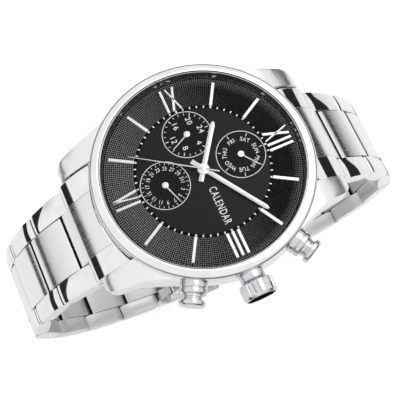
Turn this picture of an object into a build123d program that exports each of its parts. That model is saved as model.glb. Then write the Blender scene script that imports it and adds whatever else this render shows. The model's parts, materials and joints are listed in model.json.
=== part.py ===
from build123d import *
import math
import os

# Chronograph-style steel wristwatch with day, date and 24-hour subdials on a three-row bracelet.
# Millimetres. +X points to 3 o'clock and the crown, +Y to 12 o'clock, +Z out of the dial.
# The origin is the centre of the case back's outer face, on the axis of the hands.

# ---------------------------------------------------------------- driving dimensions
RUN = 0.05                  # radial running clearance of every moving fit

DIAL_Z = 7.5                # top face of the dial
DIAL_THICK = 0.4
DIAL_R = 19.85
MARK_TOP = 0.24             # height of the applied hour marks above the dial
MARK_IN = 13.05             # the marks' inner and outer ends
MARK_OUT = 18.0
STROKE = 0.55               # width of a numeral's thick and thin strokes
THIN_STROKE = 0.4

CASE_R = 21.15              # mid-case at its top and bottom
CASE_BULGE_R = 21.5         # mid-case at its widest
CASE_LOW = 0.9
CASE_TOP = 7.6
CASE_BORE_R = 17.6
SEAT_R = 19.95              # recess in the case for the dial, the flange ring and the bezel
BACK_R = 18.8
BACK_PLUG_R = 16.4          # inside of the rim that presses into the case
BACK_NOTCHES = 6            # opening notches in the back

BEZEL_IN_R = 19.15
BEZEL_OUT_R = 21.3
BEZEL_FOOT_R = 20.9
BEZEL_TOP = 9.5
FLANGE_LOW_R = 18.75        # the inner wall leans out from here up to the bezel
CRYSTAL_LOW = 8.65
CRYSTAL_TOP = 9.45
CRYSTAL_R = 19.05

CROWN_Z = 6.0               # height of the winding stem and of both pushers
STEM_R = 0.5
TUBE_R = 0.95
CROWN_R = 3.25
CROWN_CAP_R = 2.8           # black cap in the crown's end
CROWN_COLLAR_R = 2.45
CROWN_COLLAR_END = 22.75
CROWN_START = 22.95
CROWN_END = 26.1
CROWN_FLUTES = 20
PUSHER_ANGLES = {"pusher_2": 28.5, "pusher_4": -28.5}
COLLAR_IN = 20.0            # each collar reaches in from here until it meets the case
COLLAR_R = 2.6
COLLAR_BORE_R = 1.95
COLLAR_FLOOR = 21.9         # bottom of a pusher collar's bore
COLLAR_END = 23.55
PUSHER_BODY_START = 23.05
PUSHER_CAP_R = 2.45
PUSHER_CAP_START = 24.65
PUSHER_CAP_END = 25.75
TUBE_START = 18.4           # inner end of the crown and pusher tubes
TUBE_BORE_R = 0.56
TUBE_HOLE = (17.0, 22.5)    # start and end of each tube's hole through the case

SUBDIAL_R = 7.75            # distance of each subdial's centre from the hands' axis

PLATE_LOW = 4.6
PLATE_TOP = 6.2
PLATE_R = 15.0
BRIDGE_LOW = 1.95
BRIDGE_TOP = 2.4

LUG_IN_X = 10.4             # half the gap between a pair of lugs
SPRING_BAR_Y = 23.4
SPRING_BAR_Z = 1.6
SPRING_BAR_R = 0.75
SPRING_TIP_R = 0.42
END_LINK_TOP = ((17.5, 6.7), (20.0, 5.6), (22.0, 4.4), (24.0, 2.8), (25.6, 1.1))       # y and z
END_LINK_UNDER = ((25.6, 1.1), (26.5, -1.15), (24.3, -3.1), (21.5, -1.1), (17.5, -0.1), (17.5, 6.7))

LINK_THICK = 3.0
LINK_PITCH = 10.6
CENTRE_HALF = 5.6           # half width of the bracelet's centre row
ROW_GAP = 0.1
JOINT_GAP = 0.1
PIN_R = 0.5
FIRST_HINGE = (26.5, -3.3)  # y and z of the first bracelet hinge on the 12 o'clock side
LINK_ANGLES = (41.5, 57.5, 76.0, 106.0, 128.0, 147.0, 161.0)   # slope of each link below level
LINK_WIDTHS = (20.2, 19.1, 18.6, 18.3, 18.0, 17.8, 17.6, 17.4)  # width at each hinge

CLASP_R = 60.0              # radius of the clasp's curve at mid-thickness
CLASP_HALF = 8.7            # half the clasp's width
FOLD_Y = -10.6              # hinge between the cover and the long blade
TURN_Y = 10.2               # hinge between the two blades
BLADE_R = 58.3              # outer radius of the long blade's curve
BLADE_THICK = 1.0
BLADE_GAP = 0.4
COVER_START = -12.6         # y of the cover's open end
COVER_THICK = 1.5


# ---------------------------------------------------------------- helpers
def save(builder, name):
    """Labels a finished piece and writes its STEP file."""
    builder.part.label = name
    export_step(builder.part, f"parts/{name}.step")


def ring(inner, outer, low, high):
    """A plain tube about the hands' axis."""
    with BuildPart() as tube:
        with BuildSketch(Plane.XY.offset(low)):
            Circle(outer)
            if inner:
                Circle(inner, mode=Mode.SUBTRACT)
        extrude(amount=high - low)
    return tube.part


def rod(x, y, radius, low, high):
    """A round rod standing parallel to the hands' axis."""
    with BuildPart() as bar:
        with BuildSketch(Plane.XY.offset(low)):
            with Locations((x, y)):
                Circle(radius)
        extrude(amount=high - low)
    return bar.part


def polar(distance, degrees):
    """The point at a distance and angle from the hands' axis, anticlockwise from +X."""
    turn = math.radians(degrees)
    return distance * math.cos(turn), distance * math.sin(turn)


def gear(centre, teeth, pitch_r, phase, low, high, bore=0.0):
    """A spur wheel; one tooth points at the phase angle, and the teeth are thin for backlash."""
    module = 2 * pitch_r / teeth
    root = pitch_r - 1.25 * module
    tip = pitch_r + 0.9 * module
    step = 360 / teeth
    outline = []
    for tooth in range(teeth):
        middle = phase + tooth * step
        outline.append(polar(root, middle - 0.28 * step))
        outline.append(polar(tip, middle - 0.10 * step))
        outline.append(polar(tip, middle + 0.10 * step))
        outline.append(polar(root, middle + 0.28 * step))
    with BuildPart() as wheel:
        with BuildSketch(Plane.XY.offset(low)):
            with BuildLine():
                Polyline(*outline, close=True)
            make_face()
            if bore:
                Circle(bore, mode=Mode.SUBTRACT)
        extrude(amount=high - low)
    return wheel.part.moved(Location((centre[0], centre[1], 0)))


def side_plane(degrees):
    """A plane whose x axis points away from the hands' axis and whose y axis is +Z."""
    turn = math.radians(degrees)
    outward = (math.cos(turn), math.sin(turn), 0)
    normal = (math.sin(turn), -math.cos(turn), 0)
    return Plane(origin=(0, 0, CROWN_Z), x_dir=outward, z_dir=normal)


def turned(degrees, *steps):
    """A round piece about a radial axis, from (start, end, outer radius, inner radius) steps."""
    with BuildPart() as piece:
        with BuildSketch(side_plane(degrees)):
            for start, end, outer, inner in steps:
                with Locations(((start + end) / 2, (inner + outer) / 2)):
                    Rectangle(end - start, outer - inner)
        turn = math.radians(degrees)
        direction = (math.cos(turn), math.sin(turn), 0)
        revolve(axis=Axis((0, 0, CROWN_Z), direction))
    return piece.part


# ---------------------------------------------------------------- case
def lug_blank():
    """Four lugs: their plan outline, cut down to the curve seen from the side."""
    with BuildPart() as lugs:
        with BuildSketch(Plane.XY.offset(-1.0)):
            with BuildLine():
                Polyline((15.5, 9.0), (LUG_IN_X, 9.0), (LUG_IN_X, 25.5), (12.0, 25.5))
                Spline((12.0, 25.5), (13.7, 24.2), (14.5, 21.0), (15.5, 17.0), (17.3, 12.5), (19.0, 9.0))
                Line((19.0, 9.0), (15.5, 9.0))
            make_face()
            mirror(about=Plane.YZ)
            mirror(about=Plane.XZ)
        extrude(amount=10)
        with BuildSketch(Plane.YZ) as side:
            with BuildLine():
                Line((0, CASE_LOW), (0, CASE_TOP))
                Line((0, CASE_TOP), (15.5, CASE_TOP))
                Spline((15.5, CASE_TOP), (19.5, 6.7), (22.6, 4.9), (25.3, 1.9), tangents=((1, 0), (0.5, -1)))
                Spline((25.3, 1.9), (25.1, 0.2), (23.6, -0.3))
                Spline((23.6, -0.3), (21.0, 0.3), (18.0, CASE_LOW))
                Line((18.0, CASE_LOW), (0, CASE_LOW))
            make_face()
            mirror(about=Plane.YZ)
        extrude(amount=30, both=True, mode=Mode.INTERSECT)
    return lugs.part


def make_mid_case():
    with BuildPart() as mid_case:
        add(lug_blank())
        with BuildSketch(Plane.XZ):
            with BuildLine():
                Line((CASE_BORE_R, CASE_LOW), (20.3, CASE_LOW))
                Spline((20.3, CASE_LOW), (CASE_BULGE_R, 4.8), (CASE_R, CASE_TOP))
                Polyline((CASE_R, CASE_TOP), (SEAT_R, CASE_TOP), (SEAT_R, DIAL_Z - DIAL_THICK),
                         (CASE_BORE_R, DIAL_Z - DIAL_THICK), (CASE_BORE_R, CASE_LOW))
            make_face()
        revolve(axis=Axis.Z)
        with BuildSketch(Plane.XY):
            Circle(CASE_BORE_R)
        extrude(amount=10, mode=Mode.SUBTRACT)
        with BuildSketch(Plane.XY.offset(DIAL_Z - DIAL_THICK)):
            Circle(SEAT_R)
        extrude(amount=10, mode=Mode.SUBTRACT)
        for degrees in (0, *PUSHER_ANGLES.values()):
            add(turned(degrees, (*TUBE_HOLE, TUBE_R, 0)), mode=Mode.SUBTRACT)
        with BuildSketch(Plane.YZ):
            with Locations((SPRING_BAR_Y, SPRING_BAR_Z), (-SPRING_BAR_Y, SPRING_BAR_Z)):
                Circle(SPRING_TIP_R + 0.03)
        extrude(amount=LUG_IN_X + 1.1, both=True, mode=Mode.SUBTRACT)
    save(mid_case, "mid_case")


def make_bezel():
    with BuildPart() as bezel:
        with BuildSketch(Plane.XZ):
            with BuildLine():
                Polyline((BEZEL_FOOT_R, CASE_TOP + 0.02), (SEAT_R, CASE_TOP + 0.02), (SEAT_R, CRYSTAL_LOW),
                         (19.55, CRYSTAL_LOW), (19.55, 9.08), (BEZEL_IN_R, 9.08), (BEZEL_IN_R, 9.25))
                Spline((BEZEL_IN_R, 9.25), (20.2, BEZEL_TOP), (BEZEL_OUT_R, 8.2),
                       (BEZEL_FOOT_R, CASE_TOP + 0.02), tangents=((0.5, 1), (-1, -1)))
            make_face()
        revolve(axis=Axis.Z)
    save(bezel, "bezel")


def make_crystal():
    with BuildPart() as crystal:
        add(ring(0, CRYSTAL_R, CRYSTAL_LOW, CRYSTAL_TOP))
        chamfer(crystal.faces().sort_by(Axis.Z)[-1].edges(), 0.15)
    save(crystal, "crystal")


def make_gaskets():
    """The seals under the crystal and around the case back."""
    with BuildPart() as case_gaskets:
        add(ring(CRYSTAL_R + 0.02, 19.5, CRYSTAL_LOW, 9.05))
        add(ring(17.16, CASE_BORE_R - 0.01, 1.32, 1.78))
    save(case_gaskets, "case_gaskets")


def make_flange_ring():
    """The polished inner wall between the dial and the crystal, leaning outward as it rises."""
    top = CRYSTAL_LOW - 0.02
    with BuildPart() as flange_ring:
        with BuildSketch(Plane.XZ):
            with BuildLine():
                Polyline((FLANGE_LOW_R, DIAL_Z), (DIAL_R, DIAL_Z), (DIAL_R, top), (BEZEL_IN_R, top),
                         close=True)
            make_face()
        revolve(axis=Axis.Z)
    save(flange_ring, "flange_ring")


def make_case_back():
    with BuildPart() as case_back:
        add(ring(0, BACK_R, 0, CASE_LOW - 0.02))
        chamfer(case_back.faces().sort_by(Axis.Z)[0].edges(), 0.4)
        add(ring(BACK_PLUG_R, CASE_BORE_R - 0.05, CASE_LOW - 0.02, 2.2))
        add(ring(17.15, 18.0, 1.3, 1.8), mode=Mode.SUBTRACT)
        with BuildSketch(Plane.XY):
            with PolarLocations(CASE_BORE_R, BACK_NOTCHES):
                Rectangle(1.4, 2.2)
        extrude(amount=0.35, mode=Mode.SUBTRACT)
    save(case_back, "case_back")


# ---------------------------------------------------------------- dial
def bar_mark(hour, inner, outer, width, shift=0.0):
    """A straight applied stroke along an hour's radius, shifted sideways for numerals."""
    with BuildPart() as stroke:
        with BuildSketch(Plane.XY.offset(DIAL_Z)):
            with Locations(((inner + outer) / 2, shift)):
                Rectangle(outer - inner, width)
        extrude(amount=MARK_TOP)
    return stroke.part.rotate(Axis.Z, 90 - 30 * hour)


def slanted_mark(hour, inner, outer, width, shift_in, shift_out):
    """An applied stroke that leans from one sideways shift to another."""
    with BuildPart() as stroke:
        with BuildSketch(Plane.XY.offset(DIAL_Z)):
            with BuildLine():
                half = width / 2
                Polyline((inner, shift_in - half), (outer, shift_out - half),
                         (outer, shift_out + half), (inner, shift_in + half), close=True)
            make_face()
        extrude(amount=MARK_TOP)
    return stroke.part.rotate(Axis.Z, 90 - 30 * hour)


def make_dial():
    with BuildPart() as dial_plate:
        add(ring(0, DIAL_R, DIAL_Z - DIAL_THICK, DIAL_Z))
        add(rod(0, 0, 0.8, 0, 10), mode=Mode.SUBTRACT)
        for degrees in (90, 180, 270):
            x, y = polar(SUBDIAL_R, degrees)
            add(rod(x, y, AXLE_HOLE_R + RUN, 0, 10), mode=Mode.SUBTRACT)
    save(dial_plate, "dial_plate")


def cross_marks(hour, shift, lean):
    """The two crossed strokes of an X, one thick and one thin."""
    with BuildPart() as cross:
        add(slanted_mark(hour, MARK_IN, MARK_OUT, STROKE, shift + lean, shift - lean))
        add(slanted_mark(hour, MARK_IN, MARK_OUT, THIN_STROKE, shift - lean, shift + lean))
    return cross.part


def make_hour_marks():
    """Eight batons, and XII, III, VI and IX with strokes that run out along the hour's radius."""
    with BuildPart() as hour_marks:
        for hour in (1, 2, 4, 5, 7, 8, 10, 11):
            add(bar_mark(hour, MARK_IN, MARK_OUT, 0.7))
        for shift in (-1.1, 0, 1.1):
            add(bar_mark(3, MARK_IN, MARK_OUT + 0.3, STROKE, shift))
        for shift in (-0.5, -1.6):
            add(bar_mark(12, MARK_IN, MARK_OUT, STROKE, shift))
        add(cross_marks(12, 1.15, 0.78))
        add(slanted_mark(6, MARK_IN, MARK_OUT, STROKE, -1.3, -0.6))
        add(slanted_mark(6, MARK_IN, MARK_OUT, THIN_STROKE, 0.1, -0.6))
        add(bar_mark(6, MARK_IN, MARK_OUT, STROKE, 1.0))
        add(bar_mark(9, MARK_IN, MARK_OUT, STROKE, 1.3))
        add(cross_marks(9, -0.5, 0.78))
    save(hour_marks, "hour_marks")


# ---------------------------------------------------------------- movement
BATTERY_Y = -9.8
BATTERY_WELL_R = 4.95
PIVOT_R = 0.12              # pivots of the going train, and their holes
PIVOT_HOLE_R = 0.15
PIVOT_LOW = 2.0
PIVOT_HIGH = 5.1
AXLE_R = 0.15               # axles under the subdials, and their holes
AXLE_HOLE_R = 0.2
AXLE_LOW = 5.5
AXLE_HIGH = 7.77
MOTION_LOW = 6.35           # levels of the two layers of wheels under the dial
MOTION_HIGH = 6.6
HOURS_LOW = 6.68
HOURS_HIGH = 6.93
CANNON_R = 0.42             # the tube that carries the minute hand
CANNON_HOLE_R = 0.47
SCREW_HOLE_R = 0.35
THIRD = polar(3.4, 60)
FIFTH = polar(2.88, 170)
ROTOR = (FIFTH[0] + polar(2.8, 150)[0], FIFTH[1] + polar(2.8, 150)[1])
MINUTE_WHEEL = (3.229, 0.0)
COIL = (9.5, 3.0)
BRIDGE_SCREWS = ((11.5, -4.0), (-11.5, -1.5), (2.0, 12.0))


def make_plates():
    with BuildPart() as main_plate:
        add(ring(0, PLATE_R, PLATE_LOW, PLATE_TOP))
        add(rod(0, 0, CANNON_HOLE_R, 0, 10), mode=Mode.SUBTRACT)
        add(rod(0, BATTERY_Y, BATTERY_WELL_R, 0, 5.2), mode=Mode.SUBTRACT)
        for x, y in (THIRD, FIFTH, ROTOR):
            add(rod(x, y, PIVOT_HOLE_R, 0, 5.2), mode=Mode.SUBTRACT)
        add(rod(*MINUTE_WHEEL, AXLE_HOLE_R, 5.4, 7), mode=Mode.SUBTRACT)
        for degrees in (90, 180, 270):
            add(rod(*polar(SUBDIAL_R, degrees), AXLE_HOLE_R, 5.4, 7), mode=Mode.SUBTRACT)
        for x, y in BRIDGE_SCREWS:
            add(rod(x, y, SCREW_HOLE_R, 0, 5.6), mode=Mode.SUBTRACT)
        with Locations((14.2, 0, CROWN_Z)):
            Box(4.4, 1.4, 1.4, mode=Mode.SUBTRACT)
    save(main_plate, "main_plate")
    with BuildPart() as train_bridge:
        add(ring(0, 14.6, BRIDGE_LOW, BRIDGE_TOP))
        add(rod(0, BATTERY_Y, BATTERY_WELL_R, 0, 5), mode=Mode.SUBTRACT)
        for x, y in (THIRD, FIFTH, ROTOR, (0, 0)):
            add(rod(x, y, PIVOT_HOLE_R, 0, 5), mode=Mode.SUBTRACT)
        for x, y in BRIDGE_SCREWS:
            add(rod(x, y, 0.9, BRIDGE_TOP, PLATE_LOW))
            add(rod(x, y, SCREW_HOLE_R, 0, 5), mode=Mode.SUBTRACT)
    save(train_bridge, "train_bridge")
    with BuildPart() as bridge_screws:
        for x, y in BRIDGE_SCREWS:
            add(rod(x, y, SCREW_HOLE_R - 0.03, BRIDGE_LOW, 5.4))
            add(rod(x, y, 0.75, 1.6, BRIDGE_LOW))
    save(bridge_screws, "bridge_screws")
    with BuildPart() as movement_holder:
        add(ring(15.1, 17.3, 2.4, 6.9))
        with Locations((16.2, 0, CROWN_Z)):
            Box(4, 1.6, 1.6, mode=Mode.SUBTRACT)
    save(movement_holder, "movement_holder")


def make_electrics():
    with BuildPart() as battery:
        add(rod(0, BATTERY_Y, 4.7, 1.6, 3.9))
        add(rod(0, BATTERY_Y, 4.1, 1.3, 1.6))
    save(battery, "battery")
    with BuildPart() as motor_coil:
        with Locations((COIL[0], COIL[1], 3.5)):
            Cylinder(0.85, 7.0, rotation=(90, 0, 0))
        with Locations((COIL[0], COIL[1] - 3.8, 3.5), (COIL[0], COIL[1] + 3.8, 3.5)):
            Box(1.8, 0.6, 1.8)
    save(motor_coil, "motor_coil")
    with BuildPart() as circuit_board:
        add(ring(0, 13.6, 1.2, 1.45))
        add(rod(0, BATTERY_Y, BATTERY_WELL_R, 0, 5), mode=Mode.SUBTRACT)
        with Locations((0, -14, 1.3)):
            Box(30, 12, 2, mode=Mode.SUBTRACT)
        with Locations((-6, 5, 1.15)):
            Box(3, 3, 0.3)
    save(circuit_board, "circuit_board")


def mesh_phase(direction, teeth):
    """Phase that puts a gap of the driven wheel against a tooth pointing along the direction."""
    return direction + 180 + 180 / teeth


def make_train():
    """The going train: rotor, fifth, seconds (fourth), third and centre wheels in mesh."""
    with BuildPart() as seconds_wheel:
        add(gear((0, 0), 40, 2.4, 170, 2.7, 2.9))
        add(gear((0, 0), 8, 0.4, 60, 2.95, 3.45))
        add(rod(0, 0, PIVOT_R, PIVOT_LOW, 8.45))
    save(seconds_wheel, "seconds_wheel")
    with BuildPart() as fifth_wheel:
        add(gear(FIFTH, 8, 0.48, mesh_phase(170, 8), 2.6, 3.0))
        add(gear(FIFTH, 48, 2.4, 150, 3.52, 3.7))
        add(rod(*FIFTH, PIVOT_R, PIVOT_LOW, PIVOT_HIGH))
    save(fifth_wheel, "fifth_wheel")
    with BuildPart() as rotor:
        add(gear(ROTOR, 8, 0.4, mesh_phase(150, 8), 3.45, 3.8))
        add(rod(*ROTOR, 0.95, 2.6, 3.3))
        add(rod(*ROTOR, PIVOT_R, PIVOT_LOW, PIVOT_HIGH))
    save(rotor, "rotor")
    with BuildPart() as third_wheel:
        add(gear(THIRD, 60, 3.0, mesh_phase(60, 60), 3.15, 3.35))
        add(gear(THIRD, 8, 0.378, mesh_phase(60, 8), 3.75, 4.15))
        add(rod(*THIRD, PIVOT_R, PIVOT_LOW, PIVOT_HIGH))
    save(third_wheel, "third_wheel")
    with BuildPart() as centre_wheel:
        add(gear((0, 0), 64, 3.022, 60, 3.85, 4.05))
        add(gear((0, 0), 12, 0.807, 0, MOTION_LOW, MOTION_HIGH))
        add(rod(0, 0, CANNON_R, 3.85, 8.23))
        add(rod(0, 0, PIVOT_R + RUN, 0, 10), mode=Mode.SUBTRACT)
    save(centre_wheel, "centre_wheel")


def make_motion_work():
    """Minute wheel, hour wheel and 24-hour wheel under the dial, and the calendar stars."""
    with BuildPart() as minute_wheel:
        add(gear(MINUTE_WHEEL, 36, 2.422, mesh_phase(0, 36), MOTION_LOW, MOTION_HIGH))
        add(gear(MINUTE_WHEEL, 10, 0.646, 180, MOTION_HIGH, 6.95))
        add(rod(*MINUTE_WHEEL, AXLE_R, AXLE_LOW, MOTION_LOW))
    save(minute_wheel, "minute_wheel")
    with BuildPart() as hour_wheel:
        add(gear((0, 0), 40, 2.583, 180 / 40, HOURS_LOW, HOURS_HIGH))
        add(rod(0, 0, 0.7, HOURS_LOW, 8.0))
        add(rod(0, 0, CANNON_HOLE_R, 0, 10), mode=Mode.SUBTRACT)
    save(hour_wheel, "hour_wheel")
    axle = polar(SUBDIAL_R, 180)
    with BuildPart() as twenty_four_hour_wheel:
        add(gear(axle, 80, 5.167, 0, HOURS_LOW, HOURS_HIGH))
        add(rod(*axle, AXLE_R, AXLE_LOW, AXLE_HIGH))
    save(twenty_four_hour_wheel, "twenty_four_hour_wheel")
    for name, degrees, teeth, radius in (("day_star", 90, 7, 2.2), ("date_star", 270, 31, 3.0)):
        axle = polar(SUBDIAL_R, degrees)
        with BuildPart() as star:
            add(gear(axle, teeth, radius, 90, MOTION_LOW, MOTION_HIGH))
            add(rod(*axle, AXLE_R, AXLE_LOW, AXLE_HIGH))
        save(star, name)


# ---------------------------------------------------------------- hands
def make_hand(name, centre, heading, low, thick, length, tail, wide, narrow, hub, bore):
    """A flat baton hand: blunt tail, round hub, tapered tip. heading is clockwise from 12."""
    with BuildPart() as hand:
        with BuildSketch(Plane.XY.offset(low)):
            with BuildLine():
                Polyline((-narrow, -tail), (narrow, -tail), (wide, length - 2 * wide), (0.4 * wide, length),
                         (-0.4 * wide, length), (-wide, length - 2 * wide), close=True)
            make_face()
            Circle(hub)
            if bore:
                Circle(bore, mode=Mode.SUBTRACT)
        extrude(amount=thick)
    hand.part = hand.part.rotate(Axis.Z, -heading).moved(Location((centre[0], centre[1], 0)))
    save(hand, name)


SMALL_HANDS = (("day_hand", 90, 53.5), ("twenty_four_hour_hand", 180, 152.4), ("date_hand", 270, 70.5))


def make_hands():
    """Each hand: name, centre, heading, height, thickness, length, tail, half widths, hub, bore."""
    make_hand("hour_hand", (0, 0), 304.7, 7.87, 0.13, 9.8, 2.5, 0.47, 0.45, 1.15, 0.7)
    make_hand("minute_hand", (0, 0), 56.4, 8.10, 0.13, 14.3, 2.7, 0.40, 0.45, 1.1, CANNON_R)
    make_hand("seconds_hand", (0, 0), 213.0, 8.33, 0.10, 14.4, 3.1, 0.08, 0.17, 0.55, PIVOT_R)
    for name, degrees, heading in SMALL_HANDS:
        centre = polar(SUBDIAL_R, degrees)
        make_hand(name, centre, heading, 7.63, 0.13, 4.15, 0.3, 0.12, 0.17, 0.62, AXLE_R)


# ---------------------------------------------------------------- crown and pushers
def seated_collar(degrees, end, radius, bore_start, bore):
    """A tube pressed into the case, with a collar cut to sit on the case's round side."""
    with BuildPart() as collar:
        add(turned(degrees, (COLLAR_IN, end, radius, 0)))
        add(ring(0, CASE_BULGE_R + 0.02, -1, 15), mode=Mode.SUBTRACT)
        add(turned(degrees, (TUBE_START, COLLAR_FLOOR, TUBE_R, 0)))
        add(turned(degrees, (TUBE_START, end, TUBE_BORE_R, 0)), mode=Mode.SUBTRACT)
        add(turned(degrees, (bore_start, end, bore, 0)), mode=Mode.SUBTRACT)
    return collar.part


def make_crown():
    with BuildPart() as crown_tube:
        add(seated_collar(0, CROWN_COLLAR_END, CROWN_COLLAR_R, CROWN_COLLAR_END - 0.1, CROWN_COLLAR_R - 0.4))
    save(crown_tube, "crown_tube")
    with BuildPart() as winding_stem:
        add(turned(0, (13.2, CROWN_START, STEM_R, 0)))
        add(turned(0, (13.0, 14.2, 0.62, 0)))
    save(winding_stem, "winding_stem")
    with BuildPart() as crown:
        add(turned(0, (CROWN_START, CROWN_END, CROWN_R, 0)))
        chamfer(crown.faces().sort_by(Axis.X)[-1].edges(), 0.4)
        chamfer(crown.faces().sort_by(Axis.X)[0].edges(), 0.2)
        with BuildSketch(Plane.YZ.offset(CROWN_START - 0.1)):
            with Locations((0, CROWN_Z)):
                with PolarLocations(CROWN_R + 0.12, CROWN_FLUTES):
                    Circle(0.3)
        extrude(amount=2.2, mode=Mode.SUBTRACT)
        add(turned(0, (CROWN_END - 0.4, CROWN_END, CROWN_CAP_R + 0.02, 0)), mode=Mode.SUBTRACT)
    save(crown, "crown")
    with BuildPart() as crown_cap:
        add(turned(0, (CROWN_END - 0.39, CROWN_END - 0.05, CROWN_CAP_R, 0)))
    save(crown_cap, "crown_cap")
    with BuildPart() as setting_yoke:
        add(turned(0, (15.6, 15.9, 0.74, STEM_R + RUN)))
    save(setting_yoke, "setting_yoke")


def make_pushers():
    with BuildPart() as pusher_tubes:
        for degrees in PUSHER_ANGLES.values():
            add(seated_collar(degrees, COLLAR_END, COLLAR_R, COLLAR_FLOOR, COLLAR_BORE_R))
    save(pusher_tubes, "pusher_tubes")
    for name, degrees in PUSHER_ANGLES.items():
        with BuildPart() as pusher:
            add(turned(degrees, (TUBE_START, PUSHER_BODY_START, STEM_R, 0),
                       (PUSHER_BODY_START, PUSHER_CAP_START, COLLAR_BORE_R - RUN, 0),
                       (PUSHER_CAP_START, PUSHER_CAP_END, PUSHER_CAP_R, 0)))
        save(pusher, name)


# ---------------------------------------------------------------- bracelet
def hinge_points():
    """Y and z of the bracelet's hinges on the 12 o'clock side, head first."""
    points = [FIRST_HINGE]
    for slope in LINK_ANGLES:
        y, z = points[-1]
        drop = math.radians(slope)
        points.append((y + LINK_PITCH * math.cos(drop), z - LINK_PITCH * math.sin(drop)))
    return points


HINGES = hinge_points()


def chain_plane(side, point, slope):
    """A plane at a hinge: x along the chain away from the head, y outward; side is +1 at 12."""
    drop = math.radians(slope)
    along = (0, side * math.cos(drop), -math.sin(drop))
    return Plane(origin=(0, side * point[0], point[1]), x_dir=along, z_dir=(side, 0, 0))


def end_link_blank(side):
    """Fills the gap between the lugs; its centre runs on as the tongue of the first hinge."""
    half = LUG_IN_X - 0.08
    with BuildPart() as end_link:
        with BuildSketch(Plane.YZ):
            with BuildLine():
                Spline(*[(side * y, z) for y, z in END_LINK_TOP])
                Polyline(*[(side * y, z) for y, z in END_LINK_UNDER])
            make_face()
        extrude(amount=half, both=True)
        with BuildSketch(chain_plane(side, FIRST_HINGE, 50)):
            Circle(LINK_THICK / 2)
            with Locations((-1.6, 0)):
                Rectangle(3.2, LINK_THICK)
        extrude(amount=CENTRE_HALF, both=True)
        with BuildSketch(Plane.YZ):
            with Locations((side * FIRST_HINGE[0], FIRST_HINGE[1])):
                Circle(PIN_R + RUN)
            with Locations((side * SPRING_BAR_Y, SPRING_BAR_Z)):
                Circle(SPRING_BAR_R + RUN)
        extrude(amount=half, both=True, mode=Mode.SUBTRACT)
        with BuildSketch(Plane.XY.offset(-10)):
            Circle(CASE_BULGE_R + 0.12)
        extrude(amount=30, mode=Mode.SUBTRACT)
    return end_link.part


def make_end_links():
    with BuildPart() as end_links:
        add(end_link_blank(1))
        add(end_link_blank(-1))
    save(end_links, "end_links")


def make_spring_bars():
    with BuildPart() as spring_bars:
        with BuildSketch(Plane.YZ):
            with Locations((SPRING_BAR_Y, SPRING_BAR_Z), (-SPRING_BAR_Y, SPRING_BAR_Z)):
                Circle(SPRING_BAR_R)
        extrude(amount=LUG_IN_X - 0.1, both=True)
        with BuildSketch(Plane.YZ):
            with Locations((SPRING_BAR_Y, SPRING_BAR_Z), (-SPRING_BAR_Y, SPRING_BAR_Z)):
                Circle(SPRING_TIP_R)
        extrude(amount=LUG_IN_X + 1.0, both=True)
    save(spring_bars, "spring_bars")


def make_link(side, index, name):
    """An H-shaped link: two outer pieces, a centre piece and the hinge pin at its head end."""
    start = HINGES[index]
    frame = chain_plane(side, start, LINK_ANGLES[index])
    near_half = LINK_WIDTHS[index] / 2
    far_half = LINK_WIDTHS[index + 1] / 2
    thick = LINK_THICK
    clear = thick / 2 + JOINT_GAP
    body_end = LINK_PITCH - clear
    outer_in = CENTRE_HALF + ROW_GAP
    taper = math.atan2(near_half - far_half, LINK_PITCH)
    with BuildPart() as link:
        for hand in (-1, 1):
            with BuildSketch(frame.offset(hand * outer_in)):
                Circle(thick / 2)
                with Locations((body_end / 2, 0)):
                    Rectangle(body_end, thick)
            extrude(amount=hand * (near_half + 0.2 - outer_in))
        with BuildSketch(frame):
            with Locations(((clear + LINK_PITCH) / 2, 0)):
                Rectangle(LINK_PITCH - clear, thick)
            with Locations((LINK_PITCH, 0)):
                Circle(thick / 2)
        extrude(amount=CENTRE_HALF, both=True)
        with BuildSketch(frame):
            with Locations(((clear + body_end) / 2, -0.1)):
                Rectangle(body_end - clear - 0.6, thick - 0.6)
        extrude(amount=CENTRE_HALF + 0.5, both=True)
        for hand in (-1, 1):
            edge = frame.origin + frame.z_dir * (hand * near_half)
            normal = frame.z_dir * (hand * math.cos(taper)) + frame.x_dir * math.sin(taper)
            split(bisect_by=Plane(origin=edge, z_dir=normal), keep=Keep.BOTTOM)
        with BuildSketch(frame):
            Circle(PIN_R + RUN)
            with Locations((LINK_PITCH, 0)):
                Circle(PIN_R + RUN)
        extrude(amount=near_half + 1, both=True, mode=Mode.SUBTRACT)
        with BuildSketch(frame):
            Circle(PIN_R)
        extrude(amount=near_half - 0.35, both=True)
    save(link, name)


def make_bracelet():
    make_end_links()
    for side, clock in ((1, "12"), (-1, "6")):
        for index in range(len(LINK_ANGLES)):
            make_link(side, index, f"link_{clock}_{index + 1}")


# ---------------------------------------------------------------- clasp
END_Y, END_Z = HINGES[-1]
CLASP_CENTRE_Z = END_Z + math.sqrt(CLASP_R**2 - END_Y**2)
COVER_R = CLASP_R + LINK_THICK / 2      # the cover's outer surface


def clasp_z(y, radius):
    """Height of the clasp's curve of that radius at a given y."""
    return CLASP_CENTRE_Z - math.sqrt(radius**2 - y**2)


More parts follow.
